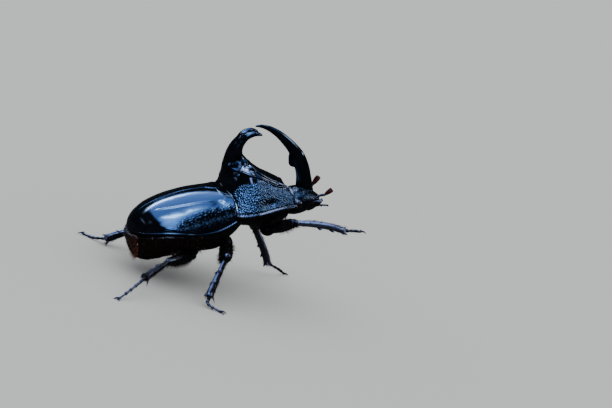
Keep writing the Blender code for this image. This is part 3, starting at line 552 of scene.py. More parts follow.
# Colour, worn colour, roughness, index of refraction, tint of the gloss, grain, pit size in mm, pit strength
SHELLS = {
    "shell_painted_blue_sheen": (JET, JET_WORN, 0.09, 1.52, PAINTED_SKY_BLUE_SHEEN, 0.03),
    "shell_rough": (JET, JET_WORN, 0.1, 1.62, PAINTED_SKY_BLUE_SHEEN, 0.08, 0.3, 0.45),
    "shell_polished": (JET, JET_WORN, 0.09, 1.5, NEUTRAL, 0.03),
    "horn_black": (JET, JET_WORN, 0.1, 1.36, PAINTED_SKY_BLUE_SHEEN, 0.03, 0.4, 0.08),
    "head_black": (JET, JET_WORN, 0.1, 1.24, PAINTED_SKY_BLUE_SHEEN, 0.1, 0.4, 0.6),
    "leg_black": ((0.003, 0.0024, 0.0028), (0.006, 0.004, 0.005), 0.2, 1.42, PAINTED_VIOLET_SHEEN, 0.12, 0.35, 0.3),
    "shin_black": ((0.003, 0.0024, 0.003), (0.006, 0.004, 0.005), 0.38, 2.5, PAINTED_VIOLET_SHEEN, 0.15, 0.35, 0.3),
    "under_black": ((0.003, 0.0024, 0.002), (0.007, 0.004, 0.0035), 0.28, 1.32, NEUTRAL, 0.2, 0.3, 0.4),
    "belly_brown": ((0.0035, 0.002, 0.0016), (0.008, 0.0034, 0.0027), 0.26, 1.34, WARM, 0.2, 0.3, 0.3),
    "tail_red": ((0.014, 0.0045, 0.0036), (0.03, 0.013, 0.012), 0.26, 1.38, WARM, 0.2, 0.3, 0.35),
    "feeler_red": ((0.02, 0.003, 0.002), (0.07, 0.007, 0.005), 0.3, 1.24, WARM, 0.15, 0.25, 0.2),
    "eye_brown": ((0.006, 0.004, 0.003), (0.014, 0.008, 0.005), 0.07, 1.5, NEUTRAL, 0.02, 0.07, 0.3),
    "jaw_black": ((0.004, 0.003, 0.003), (0.02, 0.006, 0.004), 0.14, 1.45, NEUTRAL, 0.08, 0.3, 0.15),
}
HAIRS = {
    "hair_red": ((0.05, 0.011, 0.004), (0.30, 0.075, 0.02)),
    "hair_dark": ((0.006, 0.003, 0.0022), (0.03, 0.009, 0.005)),
}
looks = {name: chitin(name, *look) for name, look in SHELLS.items()}
looks.update({name: hair_material(name, *colours) for name, colours in HAIRS.items()})


# Shapes of the sections

def squared(turn, power):
    """Shares of the half width and of the height round a section, the squarer the smaller the power."""
    return np.sign(turn) * np.abs(np.sin(turn)) ** power, np.maximum(np.cos(turn), 0) ** power


def quarter_turns(start, end, count):
    return np.linspace(start, end, count)[None, :] * math.pi / 2


def sections(x, y, z):
    """Rings of one x each from rows of y and z."""
    return np.stack([x + 0 * y, y, z], -1)


def rear_and_front(x, rear_end, middle, front_end):
    """How far a place lies behind the middle and before it, as shares of the two lengths."""
    rear = np.clip((middle - x) / (middle - rear_end), 0, 1)
    return rear, np.clip((x - middle) / (front_end - middle), 0, 1.2)


# Wing cases

# Shoulder callus, dents beside it and the low swelling near the tip: centre, reach along x, y and z, height
ELYTRON_SWELLS = [
    ((23.0, 7.8, 5.7), (1.7, 1.5, 1.5), 0.2),
    ((25.0, 6.0, 6.6), (0.9, 1.2, 1.2), -0.15),
    ((21.8, 9.0, 4.9), (0.6, 0.5, 0.6), -0.07),
    ((23.8, 6.9, 6.0), (0.6, 0.5, 0.6), -0.07),
    ((24.6, 7.6, 5.6), (0.6, 0.5, 0.6), -0.07),
    ((5.0, 6.6, 3.0), (0.9, 2.3, 2.6), 0.08),
]
# Fine groove: (x, distance from the middle), and upper limit of the pitted flank: (x, z)
STRIA = [(7.7, 4.5), (12.2, 6.0), (20.5, 6.9)]
FLANK_TOP = [(2.0, 1.6), (9.0, 3.2), (14.0, 4.2), (20.0, 5.2), (25.0, 5.4)]


def elytra_half_width(x, inset=0.0):
    rear, front = rear_and_front(x, ELYTRA_APEX + inset, ELYTRA_WIDEST, ELYTRA_FRONT)
    wide = (ELYTRA_HALF_WIDTH - inset) * (1 - rear**PLAN_POWER) ** (1 / PLAN_POWER)
    return wide - (ELYTRA_HALF_WIDTH - SHOULDER_HALF_WIDTH) * front**2


def elytra_crest(x, inset=0.0):
    edge = curve(ELYTRA_EDGE, x)
    rear, front = rear_and_front(x, ELYTRA_APEX + inset, ELYTRA_CREST_AT, ELYTRA_FRONT)
    domed = edge + (ELYTRA_CREST - inset - edge) * (1 - rear**CREST_POWER) ** (1 / CREST_POWER)
    return domed - SHOULDER_DROP * front**2


def seam_bow(y, away):
    """Forward shift of a point by the bow of the seam, fading with the distance from the seam."""
    return curve(SEAM, np.abs(y)) * np.clip(1 - away / SEAM_REACH, 0, 1)


def elytron_form(side):
    """Wing case with its outer face, the bead along its edge and its inner face."""
    t = np.linspace(0.012, 1, 230)
    x = (ELYTRA_APEX + (ELYTRA_FRONT - ELYTRA_APEX) * (1 - np.cos(t * math.pi / 2)))[:, None]
    width, edge, crest = elytra_half_width(x), curve(ELYTRA_EDGE, x), elytra_crest(x)
    power = 2 / curve(ELYTRA_SECTION, x)

    def face(inset, turns):
        across, up = squared(turns, power)
        y = SUTURE_HALF_GAP + (np.maximum(width - inset, 0.02) - SUTURE_HALF_GAP) * across
        z = edge + np.maximum(crest - inset - edge, 0.02) * up
        return y, z - SUTURE_DIP * ridge(y, 0.0, 1.0)

    arc = np.radians(np.linspace(*BEAD_ARC, 14))[None, :]
    radius = np.minimum(BEAD_RADIUS, BEAD_TIP_RADIUS + 0.3 * (x - ELYTRA_APEX))
    rounded = width + BEAD_OUTWARD + radius * np.cos(arc), edge - BEAD_DROP + radius * np.sin(arc)
    outer = face(0.0, np.linspace(0, 1, 150)[None, :] ** 0.9 * math.pi / 2)
    inner = face(SHELL, quarter_turns(1, 0, 12))
    y, z = (np.concatenate(strips, 1) for strips in zip(outer, rounded, inner))
    rings = np.stack([x + seam_bow(y, ELYTRA_FRONT - x), y * side, z], -1)
    return loft(rings[:, ::side])


def elytron_relief(points):
    """Raised suture, callus, dents, fine groove and pitted flank of a wing case."""
    x, y, z = on_left(points).T
    heights = 0.02 * (ridge(y, 0.2, 0.16) - ridge(y, 0.6, 0.15)) + swells(points, ELYTRON_SWELLS)
    heights -= 0.085 * ridge(y, curve(STRIA, x), 0.22) * step_up(x, 6.5, 9.0) * (1 - step_up(x, 20.0, 22.0))
    flank = step_up(curve(FLANK_TOP, x), z - 0.6, z + 0.9) * step_up(x, 8.0, 13.0)
    heights += flank * (0.08 * pits(points, 0.4, 0.45, 9, 0.9) + 0.02 * noise(points, (0.3, 1.2, 1.2), 3))
    heights += 0.01 * pits(points, 0.75, 0.2, 5, 0.6) + 0.006 * noise(points, (1.1, 0.8, 0.8), 4)
    return heights * step_up(z - curve(ELYTRA_EDGE, x), 0.1, 0.5)


def add_elytra():
    for side, word in SIDES:
        form = displaced(elytron_form(side), elytron_relief)
        add_piece("wing_case_" + word, form, "shell_painted_blue_sheen", ["elytron_" + word])


# Pronotum and its horn

# Fine keels down each side from the horn's base, and the channel between them, on the +y side
KEEL_INNER = [
    (32.5, 1.8, 13.5), (32.75, 3.5, 12.65), (34.0, 4.9, 11.3), (35.7, 5.1, 9.8),
    (37.6, 4.8, 8.4), (39.6, 4.5, 7.2), (42.8, 4.2, 5.1),
]
KEEL_OUTER = [
    (27.7, 2.2, 13.3), (28.2, 3.3, 12.6), (30.2, 4.4, 11.7), (32.1, 6.1, 10.9), (33.8, 6.4, 10.1),
    (35.5, 6.35, 9.3), (38.2, 6.3, 7.3), (40.0, 5.7, 6.4), (41.6, 5.1, 5.7), (42.3, 6.3, 4.5),
]
CHANNEL = [(31.4, 3.9, 12.1), (33.0, 5.2, 11.6), (34.6, 5.75, 10.3), (36.6, 5.6, 9.0), (39.0, 5.3, 7.3)]
# Upper limit of the grained side: (x, z)
ROUGH_TOP = [
    (26.5, 6.6), (27.8, 7.6), (28.6, 8.4), (29.8, 9.0), (31.4, 9.2),
    (33.3, 9.5), (35.8, 8.9), (38.1, 7.4), (41.3, 5.4), (43.2, 3.6),
]
# Bowl at the horn's root, its pit, and the hollow of the flank: centre, reach along x, y and z, height
PRONOTUM_SWELLS = [
    ((30.0, 2.7, 14.2), (1.6, 2.6, 1.5), -1.0),
    ((30.6, 2.2, 14.2), (0.45, 1.6, 0.45), -0.35),
    ((35.9, 9.8, 3.8), (2.5, 1.5, 0.85), -0.85),
]
FRONT_RECESS = ((0.09, -0.02), (0.16, 0.25), (0.2, 0.9))  # share of the way to the middle, and depth


def pronotum_height(x, y):
    """Height of the pronotum: two crests with a hollow between, falling to rounded sides."""
    half_width, edge, crest, crest_at = (curve(PRONOTUM, x, column) for column in (1, 2, 3, 4))
    forward = np.clip((x - FORE_START) / (FORE_END - FORE_START), 0, 1)
    hollow = HOLLOW_DEPTH * forward * np.clip(1 - (y / crest_at) ** 2, 0, 1)
    out = np.clip((np.abs(y) - crest_at) / (half_width - crest_at), 0, 1)
    rise, fall = SIDE_RISE + SIDE_RISE_FORE * forward, SIDE_FALL + SIDE_FALL_FORE * forward
    side = edge + (crest - edge) * (1 - out**rise) ** fall
    return np.where(np.abs(y) <= crest_at, crest - hollow, side)


def pronotum_form():
    x = np.linspace(PRONOTUM_REAR, PRONOTUM_FRONT, 110)[:, None]
    half_width, edge = curve(PRONOTUM, x, 1), curve(PRONOTUM, x, 2)
    y = half_width * np.sin(quarter_turns(-1, 1, 121))
    z = pronotum_height(x + 0 * y, y)
    under_y = (half_width - 0.2) * np.linspace(1, -1, 25)[None, :]
    under_z = edge - PRONOTUM_RIM + 0 * under_y
    y, z = np.concatenate([y, under_y], 1), np.concatenate([z, under_z], 1)
    rings = np.stack([x + seam_bow(y, x - PRONOTUM_REAR), y, z], -1)[:, ::-1]
    front = rings[-1]
    recess = [between(front, front.mean(0), share) - (depth, 0, 0) for share, depth in FRONT_RECESS]
    return loft(np.concatenate([rings, recess]))


def pronotum_margins(points):
    """Distances from the lower, the hind and the front margin of the pronotum."""
    x, y, z = on_left(points).T
    behind = x - PRONOTUM_REAR
    return z - curve(PRONOTUM, x, 2), behind - seam_bow(y, behind), PRONOTUM_FRONT - x


def pronotum_granules(points):
    """1 on the granular sides of the pronotum, 0 on its smooth back and margins."""
    low, behind, ahead = pronotum_margins(points)
    rough = step_up(curve(ROUGH_TOP, points[:, 0]) - points[:, 2], -0.3, 0.6)
    return rough * step_up(behind, 0.5, 1.0) * step_up(ahead, 0.3, 0.8) * step_up(low, 0.35, 0.8)


def pronotum_relief(points):
    heights = swells(points, PRONOTUM_SWELLS)
    for route, width, height in ((KEEL_INNER, 0.27, 0.28), (KEEL_OUTER, 0.3, 0.3), (CHANNEL, 0.5, -0.22)):
        heights += height * ridge(line_distance(points, route), 0.0, width)
    low, behind, ahead = pronotum_margins(points)
    # Raised rims and the grooves inside them: distance from the margin, place, width, height
    for gap, place, width, height in (
        (low, 0.05, 0.22, 0.2), (low, 0.62, 0.2, -0.16), (behind, 0.0, 0.3, 0.1),
        (behind, 0.75, 0.22, -0.12), (ahead, 0.0, 0.3, 0.12), (ahead, 0.75, 0.22, -0.1),
    ):
        heights += height * ridge(gap, place, width)
    rough = pronotum_granules(points)
    granules = 0.12 - 0.25 * np.clip(nearest_site(points, 0.35, 21), 0, 1)
    heights += rough * (granules + 0.04 * noise(points, 0.8, 6))
    return heights + (1 - rough) * 0.008 * pits(points, 0.6, 0.25, 8, 0.5)


def carved(forms, voxel, relief):
    """Union of the forms with the relief on its skin."""
    return relaxed(displaced(remeshed(forms, voxel, 10), relief), 1)


def add_pronotum():
    """The horn of the pronotum, its granular sides and its smooth back, all cut from one skin."""
    forms = [pronotum_form(), swept(smoothed(PRONOTUM_HORN, 10), 64, (0, 1, 0))]
    forms += [swept(smoothed(HORN_LOBE, 10) * (1, side, 1, 1, 1), 40, (0, 1, 0)) for side, _ in SIDES]
    form = carved(forms, 0.1, pronotum_relief)
    x, y, z = form[0].T
    horn, plate = split_off(form, (z - pronotum_height(x, y) > 0.5) & (z > 8.0))
    sides, back = split_off(plate[0], pronotum_granules(plate[0][0]) > 0.5, plate[1])
    add_piece("horn_of_pronotum", horn[0], "horn_black", ["pronotum_horn"], horn[1])
    add_piece("pronotum_sides", sides[0], "shell_rough", ["pronotum"], sides[1])
    add_piece("pronotum_back", back[0], "shell_polished", ["pronotum"], back[1])


# Head and its horn

def head_form():
    turn = np.arange(96) / 96 * 2 * math.pi
    rings = []
    for x, half_width, middle, top, low in smoothed(HEAD, 8):
        height = np.where(np.sin(turn) > 0, top - middle, middle - low)
        rings.append(sections(x, half_width * np.cos(turn), middle + height * np.sin(turn)))
    return loft(np.array(rings), *HEAD_POLES)


def head_relief(points):
    """Swelling over the eye, granules behind the clypeus, pitted horn, and the groove of the clypeus."""
    x, z = points[:, 0], points[:, 2]
    on_horn = step_up(z, 3.6, 5.0)
    heights = swells(points, [((44.9, 2.7, 3.6), (0.5, 0.5, 0.8), 0.3)]) * (1 - on_horn)
    granules = 0.05 - 0.08 * np.clip(nearest_site(points, 0.42, 31), 0, 1) + 0.02 * noise(points, 0.2, 7)
    heights += (1 - on_horn) * step_up(x, 43.0, 44.5) * granules
    heights += on_horn * 0.01 * pits(points, 0.55, 0.25, 12, 0.5)
    return heights - 0.1 * ridge(x, 49.9, 0.16) * step_up(z, -0.2, 0.4)


def add_head():
    """The head's capsule and horn, cut from one skin, and the eyes."""
    horn, tooth = smoothed(HEAD_HORN, 10), smoothed(HORN_TOOTH, 10)
    forms = [head_form(), swept(horn, 56, (0, 1, 0)), swept(tooth, 32, (0, 1, 0))]
    form = carved(forms, 0.11, head_relief)
    horn, capsule = split_off(form, form[0][:, 2] > 4.2)
    add_piece("horn_of_head", horn[0], "horn_black", ["head_horn"], horn[1])
    add_piece("head_capsule", capsule[0], "head_black", ["head"], capsule[1])
    for side, word in SIDES:
        eye = ellipsoid(np.array(EYE) * (1, side, 1), EYE_RADII)
        add_piece("compound_eye_" + word, eye, "eye_brown", ["eye_" + word])


# Underside plates

# Depth of the hindbody along its length: (x, z)
BELLY = [
    (0.3, -2.2), (0.7, -4.4), (1.3, -6.1), (2.4, -7.4), (4.0, -8.0),
    (6.5, -7.9), (10.0, -7.4), (17.0, -7.2), (21.0, -7.6), (25.0, -6.5),
]
TAIL, PYGIDIUM_END, ABDOMEN_END, METATHORAX_END = 0.3, 2.05, 17.0, 24.3
BELLY_HALF_WIDTH, BELLY_WIDEST, BELLY_TAPER, BELLY_SQUARENESS = 11.5, 13.0, 1.15, 2.15
BRIM = 1.35  # the belly's upper rim below the bead of the wing cases
LEDGE = 0.95  # where its dome under the wing cases starts, below the same bead
ROOF_INSET = SHELL + 0.5  # from the outer face of the wing cases to that dome
ROOF_REAR = 1.95
STERNITE_LENGTH = 2.45
STERNITE_STEP = 0.17  # how far each belly plate's hind edge overlies the next
# Plates below the pronotum: x, half width, lowest point
PROSTERNUM = [
    (28.5, 8.6, -2.7), (31.0, 8.8, -3.4), (33.5, 8.4, -4.6),
    (36.0, 7.6, -5.5), (39.0, 6.6, -4.7), (41.7, 5.6, -3.5),
]
MESOSTERNUM = [(24.32, 9.6, -6.4), (26.6, 9.2, -5.0), (28.48, 8.4, -3.2)]
STERNUM_SQUARENESS = 2.1
# Shield between the wing cases
SCUTELLUM_REAR, SCUTELLUM_TIP, SCUTELLUM_FRONT = 21.4, 21.45, METATHORAX_END + 0.55
SCUTELLUM_HALF_WIDTH, SCUTELLUM_LENGTH, SCUTELLUM_POWER = 1.75, 3.6, 0.65


def hindbody_rings(x):
    """Sections of the body below the wing cases: a dome above, a deeper bowl below."""
    x = np.asarray(x, float)[:, None]
    edge = curve(ELYTRA_EDGE, x)
    rear, front = rear_and_front(x, TAIL, BELLY_WIDEST, METATHORAX_END)
    wide = BELLY_HALF_WIDTH * np.sqrt(1 - rear**2) - BELLY_TAPER * front**2
    ledge, brim = edge - LEDGE, edge - BRIM
    behind, under_roof = x <= PYGIDIUM_END, np.maximum(x, ROOF_REAR)
    roof_width = np.where(behind, wide * 0.8, np.minimum(elytra_half_width(under_roof, ROOF_INSET), wide))
    roof = np.where(behind, ledge, np.maximum(elytra_crest(under_roof, ROOF_INSET), ledge) - 0.15)
    across, up = squared(quarter_turns(-1, 1, 31), 2 / curve(ELYTRA_SECTION, x))
    low_across, down = squared(quarter_turns(1, -1, 121), 2 / BELLY_SQUARENESS)
    y = np.concatenate([roof_width * across, wide * low_across], 1)
    z = np.concatenate([ledge + (roof - ledge) * up, brim + (curve(BELLY, x) - brim) * down], 1)
    return sections(x, y, z)


def below_brim(points):
    return step_up(curve(ELYTRA_EDGE, points[:, 0]) - 1.2 - points[:, 2], 0.0, 0.4)


def sternite_phase(points):
    """Share of the way back along its belly plate, 0 at the front edge and 1 at the hind edge."""
    bow = 0.5 * (points[:, 1] / BELLY_HALF_WIDTH) ** 2
    return (ABDOMEN_END - points[:, 0] + bow) / STERNITE_LENGTH % 1.0


def abdomen_relief(points):
    """Stepped plates, each with a ridge and a groove before its hind edge, pitted at the sides."""
    phase = sternite_phase(points)
    heights = STERNITE_STEP * (phase - 0.5) * step_up(1 - phase, 0.0, 0.05)
    heights += 0.05 * ridge(phase, 0.93, 0.03) - 0.04 * ridge(phase, 0.86, 0.03)
    heights += 0.035 * pits(points, 0.5, 0.3, 41, 0.55) * step_up(np.abs(points[:, 1]), 3.0, 8.0)
    heights += 0.02 * noise(points, (0.9, 0.5, 0.5), 42) + 0.008 * noise(points, 0.2, 43)
    return heights * below_brim(points)


def pygidium_relief(points):
    return 0.05 * pits(points, 0.42, 0.33, 45, 0.8) + 0.02 * noise(points, 0.35, 46)


def metathorax_relief(points):
    """Middle furrow, slanting side furrows, pitted sides and a low swelling before each hind hip."""
    x, y = on_left(points).T[:2]
    heights = swells(points, [((20.5, 4.2, -6.3), (3.0, 2.6, 2.0), 0.25)])
    heights -= 0.22 * ridge(y, 0.0, 0.28) * step_up(x, 17.6, 19.0)
    heights -= 0.2 * ridge(y + 0.12 * (x - 21.0), 8.2, 0.16)
    heights += 0.06 * step_up(y, 5.0, 8.5) * pits(points, 0.55, 0.36, 47, 0.85)
    heights += 0.02 * noise(points, 0.5, 48)
    return heights * below_brim(points)


def sternal_form(stations, rows):
    """Plate below the pronotum: flat above, bowed below."""
    x = np.linspace(stations[0][0], stations[-1][0], rows)[:, None]
    half_width, low = curve(stations, x, 1), curve(stations, x, 2)
    top = curve(PRONOTUM, x, 2) - PRONOTUM_RIM - 0.05
    across, down = squared(quarter_turns(1, -1, 101), 2 / STERNUM_SQUARENESS)
    top_y = half_width * np.linspace(-1, 1, 22)[None, 1:-1]
    y = np.concatenate([top_y, half_width * across], 1)
    z = np.concatenate([top + 0 * top_y, top + (low - top) * down], 1)
    return loft(sections(x, y, z))


def sternal_relief(seed):
    def relief(points):
        heights = 0.06 * pits(points, 0.5, 0.36, seed, 0.85) + 0.05 * noise(points, (1.6, 1.0, 1.0), seed + 1)
        heights += 0.02 * noise(points, 0.22, seed + 2)
        return heights * step_up(curve(PRONOTUM, points[:, 0], 2) - 1.0 - points[:, 2], 0.0, 0.5)

    return relief


def scutellum_form():
    rings = []
    for x in np.linspace(SCUTELLUM_TIP, SCUTELLUM_FRONT, 42):
        half = SCUTELLUM_HALF_WIDTH * ((x - SCUTELLUM_REAR) / SCUTELLUM_LENGTH) ** SCUTELLUM_POWER
        turn = quarter_turns(-1, 1, 25)[0]
        top = float(elytra_crest(np.array(x))) - SUTURE_DIP + 0.14 - 0.12 * (1 - np.cos(turn))
        low_y = np.linspace(half, -half, 9)[1:-1]
        y = np.concatenate([half * np.sin(turn), low_y])
        rings.append(sections(x, y, np.concatenate([top, 0 * low_y + top.min() - 0.5])))
    return loft(np.array(rings))


def scutellum_relief(points):
    return 0.02 * pits(points, 0.34, 0.3, 51, 0.7) + 0.006 * noise(points, 0.4, 52)


TRUNK_PIECES = {
    "abdomen": ("belly_plates", "belly_brown", "brown_shell"),
    "pygidium": ("tail_plate", "tail_red", "red_brown_shell"),
    "metathorax": ("hind_breastplate", "under_black", "dark_shell"),
    "mesosternum": ("middle_breastplate", "under_black", "dark_shell"),
    "prosternum": ("front_breastplate", "under_black", "dark_shell"),
    "scutellum": ("shield_between_wings", "shell_painted_blue_sheen", "jet_shell"),
}


def add_trunk():
    """Plates of tail, belly and breast, and the shield between the wings. Gives their forms by node."""
    belly = loft(hindbody_rings(np.linspace(PYGIDIUM_END + 0.1, ABDOMEN_END, 240)))
    tail_rings = hindbody_rings(TAIL + (PYGIDIUM_END - TAIL) * np.linspace(0.03, 1, 46) ** 2)
    breast = loft(hindbody_rings(np.linspace(ABDOMEN_END + 0.02, METATHORAX_END, 120)))
    forms = {
        "abdomen": displaced(belly, abdomen_relief),
        "pygidium": displaced(loft(tail_rings, start=(TAIL, 0.0, -1.1)), pygidium_relief),
        "metathorax": displaced(breast, metathorax_relief),
        "mesosternum": displaced(sternal_form(MESOSTERNUM, 50), sternal_relief(81)),
        "prosternum": displaced(sternal_form(PROSTERNUM, 120), sternal_relief(85)),
        "scutellum": displaced(scutellum_form(), scutellum_relief),
    }
    for node, (name, look, slot) in TRUNK_PIECES.items():
        add_piece(name, forms[node], look, [node])
    return forms


# Legs

# Places of the joints, and the way that the shin's outer side faces
LEG_MARKS = ("hip", "knee", "ankle", "arch", "toe", "outer")
LEGS = {
    "fore_right": ((36.6, -6.0, -4.4), (40.4, -13.0, -0.8), (53.4, -13.4, -5.2),
                   (56.4, -12.9, -5.9), (58.2, -12.2, -6.7), (0.0, -0.9, -0.4)),
    "fore_left": ((36.0, 6.0, -5.8), (38.2, 14.6, -10.8), (41.5, 15.0, -22.2),
                  (44.7, 16.1, -24.9), (46.9, 18.2, -27.4), (-0.9, 0.3, 0.0)),
    "mid_right": ((23.9, -6.4, -7.2), (21.5, -15.9, -5.7), (15.1, -20.6, -12.8),
                  (14.4, -21.7, -14.4), (16.7, -23.9, -15.8), (-0.7, -0.2, 0.5)),
    "mid_left": ((24.2, 6.4, -7.2), (21.0, 16.0, -6.2), (15.5, 18.5, -13.4),
                 (14.0, 20.3, -14.7), (13.1, 23.2, -14.6), (-0.7, 0.2, 0.5)),
    "hind_right": ((15.2, -7.6, -7.1), (7.0, -14.7, -4.6), (-0.3, -20.9, -4.9),
                   (-4.6, -24.2, -5.8), (-8.3, -26.6, -6.5), (-0.3, -0.3, 0.9)),
    "hind_left": ((15.2, 7.6, -7.1), (9.4, 15.1, -5.7), (-1.3, 16.1, -7.7),
                  (-4.0, 18.8, -7.9), (-6.0, 21.2, -7.35), (-0.3, 0.3, 0.9)),
}
RAISED_LEG = "fore_right"
TOE_HEIGHT = 0.3
COXAE = {
    "fore": ((36.0, 4.3, -4.6), (1.9, 2.5, 1.8)),
    "mid": ((24.6, 4.6, -6.0), (1.9, 2.4, 1.7)),
    "hind": ((15.4, 5.0, -6.4), (1.9, 3.0, 1.5)),
}
COXA_PLUG = ((-0.6, 1.6), (0.6, 1.5), (1.6, 1.25), (2.4, 0.95))  # reach towards the hip and half width
FEMUR_DEEP = {"fore": 2.0, "mid": 2.35, "hind": 1.5}
TROCHANTER = (0.62, 0.62, 0.55)  # radii of the knob at the thigh's root, as shares of its depth
TIBIA_DEEP = {"fore": 0.98, "mid": 1.15, "hind": 1.2}
TIBIA_FLATNESS = {"fore": 0.8, "mid": 0.75, "hind": 0.75}
# Rise of the shin's middle over the line from knee to ankle
TIBIA_ARCH = {"fore": 0.6, "mid": 0.0, "hind": 0.0}
# Shares of the thigh's length, width and depth
FEMUR_SHAPE = ((0.0, 0.5, 0.55), (0.2, 0.62, 0.8), (0.5, 0.7, 1.0), (0.8, 0.66, 0.84), (1.0, 0.5, 0.6))
# Shares of the shin's length and depth
TIBIA_SHAPE = {
    "fore": ((0.0, 0.6), (0.12, 0.8), (0.4, 0.95), (0.75, 1.0), (1.0, 0.95)),
    "mid": ((0.0, 0.5), (0.12, 0.58), (0.4, 0.7), (0.75, 0.85), (1.0, 0.95)),
    "hind": ((0.0, 0.5), (0.12, 0.55), (0.4, 0.66), (0.75, 0.78), (1.0, 0.85)),
}
SHIN_RIDGES, SHIN_RIDGE_HEIGHT = 6, 0.085
# Teeth of the fore shin: share of its length, tooth length, lean towards the foot
FORE_TEETH = ((0.5, 0.75, 0.6), (0.74, 0.95, 0.7), (0.96, 1.35, 1.1))
# Thorns of the other shins: turn from the outer side and length, in two crests and as two spurs
SHIN_CRESTS = (0.38, 0.66)
CREST_THORNS = ((-1.0, 0.7), (-0.55, 0.95), (-0.1, 1.15), (0.35, 1.0), (0.8, 0.8))
SHIN_SPURS = ((2.5, 2.1), (3.6, 1.7))
THORN_TAPER = ((-0.2, 1.0), (0.0, 1.0), (0.3, 0.86), (0.6, 0.6), (0.85, 0.32), (1.0, 0.1))
FOOT_SHARES = (0.0, 0.2, 0.37, 0.54, 0.71, 1.0)  # where each foot joint starts and ends
# Share of a foot joint's length, its radius, and that of the last joint
JOINT_SHAPE = (
    (0.0, 0.2, 0.2), (0.15, 0.26, 0.24), (0.4, 0.31, 0.26),
    (0.65, 0.36, 0.29), (0.88, 0.42, 0.34), (0.98, 0.4, 0.32),
)
# Thorns round the end of a foot joint: share sideways, share down, length
JOINT_THORNS = ((1.0, 0.5, 0.55), (-1.0, 0.5, 0.55), (0.3, 1.0, 0.45), (-0.3, 1.0, 0.45), (0.0, -1.0, 0.35))
CLAW_LENGTH = 1.7
CLAW_SHAPE = ((-0.15, 0.24), (0.1, 0.25), (0.3, 0.22), (0.5, 0.185), (0.7, 0.14), (0.85, 0.09), (1.0, 0.035))
UPRIGHT = np.array((math.sin(PITCH), 0.0, math.cos(PITCH)))  # the way up from the floor, in the body frame
LEAST_HEIGHT = 0.02


def standing(name):
    """The leg's marks, with the foot set down on the floor unless it is the raised one."""
    leg = dict(zip(LEG_MARKS, np.array(LEGS[name])))
    if name != RAISED_LEG:
        height = pitched(leg["toe"])[2]
        leg["toe"] = leg["toe"] - (0, 0, (height - TOE_HEIGHT) / math.cos(PITCH))
    leg["plane"] = unit(np.cross(leg["knee"] - leg["hip"], leg["ankle"] - leg["knee"]))
    return leg


def thorn(root, direction, length, radius, bend, sides=12):
    """Tapered, slightly bent thorn with its root sunk in."""
    direction = unit(direction)
    share, thick = columns(THORN_TAPER)
    spots = root + length * (direction * share + bend * np.maximum(share, 0) ** 2)
    across = unit(np.cross(direction, (0.31, 0.53, 0.79)))
    return swept(np.hstack([spots, radius * thick, radius * thick]), sides, across, 0.8)


def ways_round(leg):
    """The way along the shin, and a function that gives the way out of it at a turn from its outer side."""
    along = unit(leg["ankle"] - leg["knee"])
    outer = unit(leg["outer"] - along * (leg["outer"] @ along))
    side = np.cross(along, outer)
    return along, lambda turn: outer * math.cos(turn) + side * math.sin(turn)


def coxa_form(leg, pair, side):
    centre, radii = COXAE[pair]
    centre = np.array(centre) * (1, side, 1)
    reach, wide = columns(COXA_PLUG)
    plug = np.hstack([centre + unit(leg["hip"] - centre) * reach, wide, wide])
    form = remeshed([ellipsoid(centre, radii, 32, 20), swept(plug, 28, (1, 0, 0.2))], 0.16, 6)
    return displaced(form, lambda points: (
        0.05 * pits(points, 0.5, 0.34, 55, 0.8) + 0.03 * noise(points, (1.0, 0.5, 0.5), 56)
    ))


def femur_form(leg, pair):
    """Flattened thigh with a keel along its hind edge, and the knob at its root."""
    deep = FEMUR_DEEP[pair]
    share, wide, tall = columns(FEMUR_SHAPE)
    path = np.hstack([between(leg["hip"], leg["knee"], share), wide * deep, tall * deep])

    def keeled(turn, share):
        keel_and_flute = 0.1 * ridge(turn, math.pi / 2, 0.3) - 0.05 * ridge(turn, 3.9, 0.35)
        return 1 + keel_and_flute * np.sin(math.pi * share)

    def relief(points):
        heights = 0.035 * pits(points, 0.62, 0.26, 57, 0.6) + 0.02 * noise(points, 0.8, 58)
        return heights + 0.006 * noise(points, 0.2, 59)

    thigh = displaced(swept(smoothed(path, 18), 64, leg["plane"], 0.8, keeled), relief)
    return joined([thigh, ellipsoid(leg["hip"], np.array(TROCHANTER) * deep, 28, 18)])


def shin_skin(leg, pair):
    deep, flatness, arch = TIBIA_DEEP[pair], TIBIA_FLATNESS[pair], TIBIA_ARCH[pair]
    share, tall = columns(TIBIA_SHAPE[pair])
    spots = between(leg["knee"], leg["ankle"], share) + UPRIGHT * arch * np.sin(math.pi * share**1.3)
    path = np.hstack([spots, tall * deep, tall * deep * flatness])

    def ridged(turn, share):
        fade = np.clip(np.sin(math.pi * share) * 1.6, 0, 1)
        return 1 + SHIN_RIDGE_HEIGHT * fade * (np.abs(np.cos(turn * SHIN_RIDGES / 2)) ** 3 - 0.35)

    return swept(smoothed(path, 16), 60, leg["outer"], 0.5, ridged)


def fore_shin_thorns(leg):
    """Teeth of the outer edge and one on the far side, and the spur at the foot."""
    along, way = ways_round(leg)
    outer, side, deep = way(0), way(math.pi / 2), TIBIA_DEEP["fore"]
    teeth = []
    for share, length, lean in FORE_TEETH:
        root = between(leg["knee"], leg["ankle"], share) + outer * deep * 0.5
        teeth.append(thorn(root, outer + along * lean, length, 0.45, along * 0.25))
    far_root = leg["ankle"] - along * 0.5 - side * deep * 0.4
    teeth.append(thorn(far_root, along * 0.3 - side, 1.35, 0.26, along * 0.2))
    spur_root = leg["ankle"] - outer * deep * 0.5 - along * 0.5
    return teeth, [thorn(spur_root, along - outer * 0.5, 1.6, 0.2, outer * 0.25)]


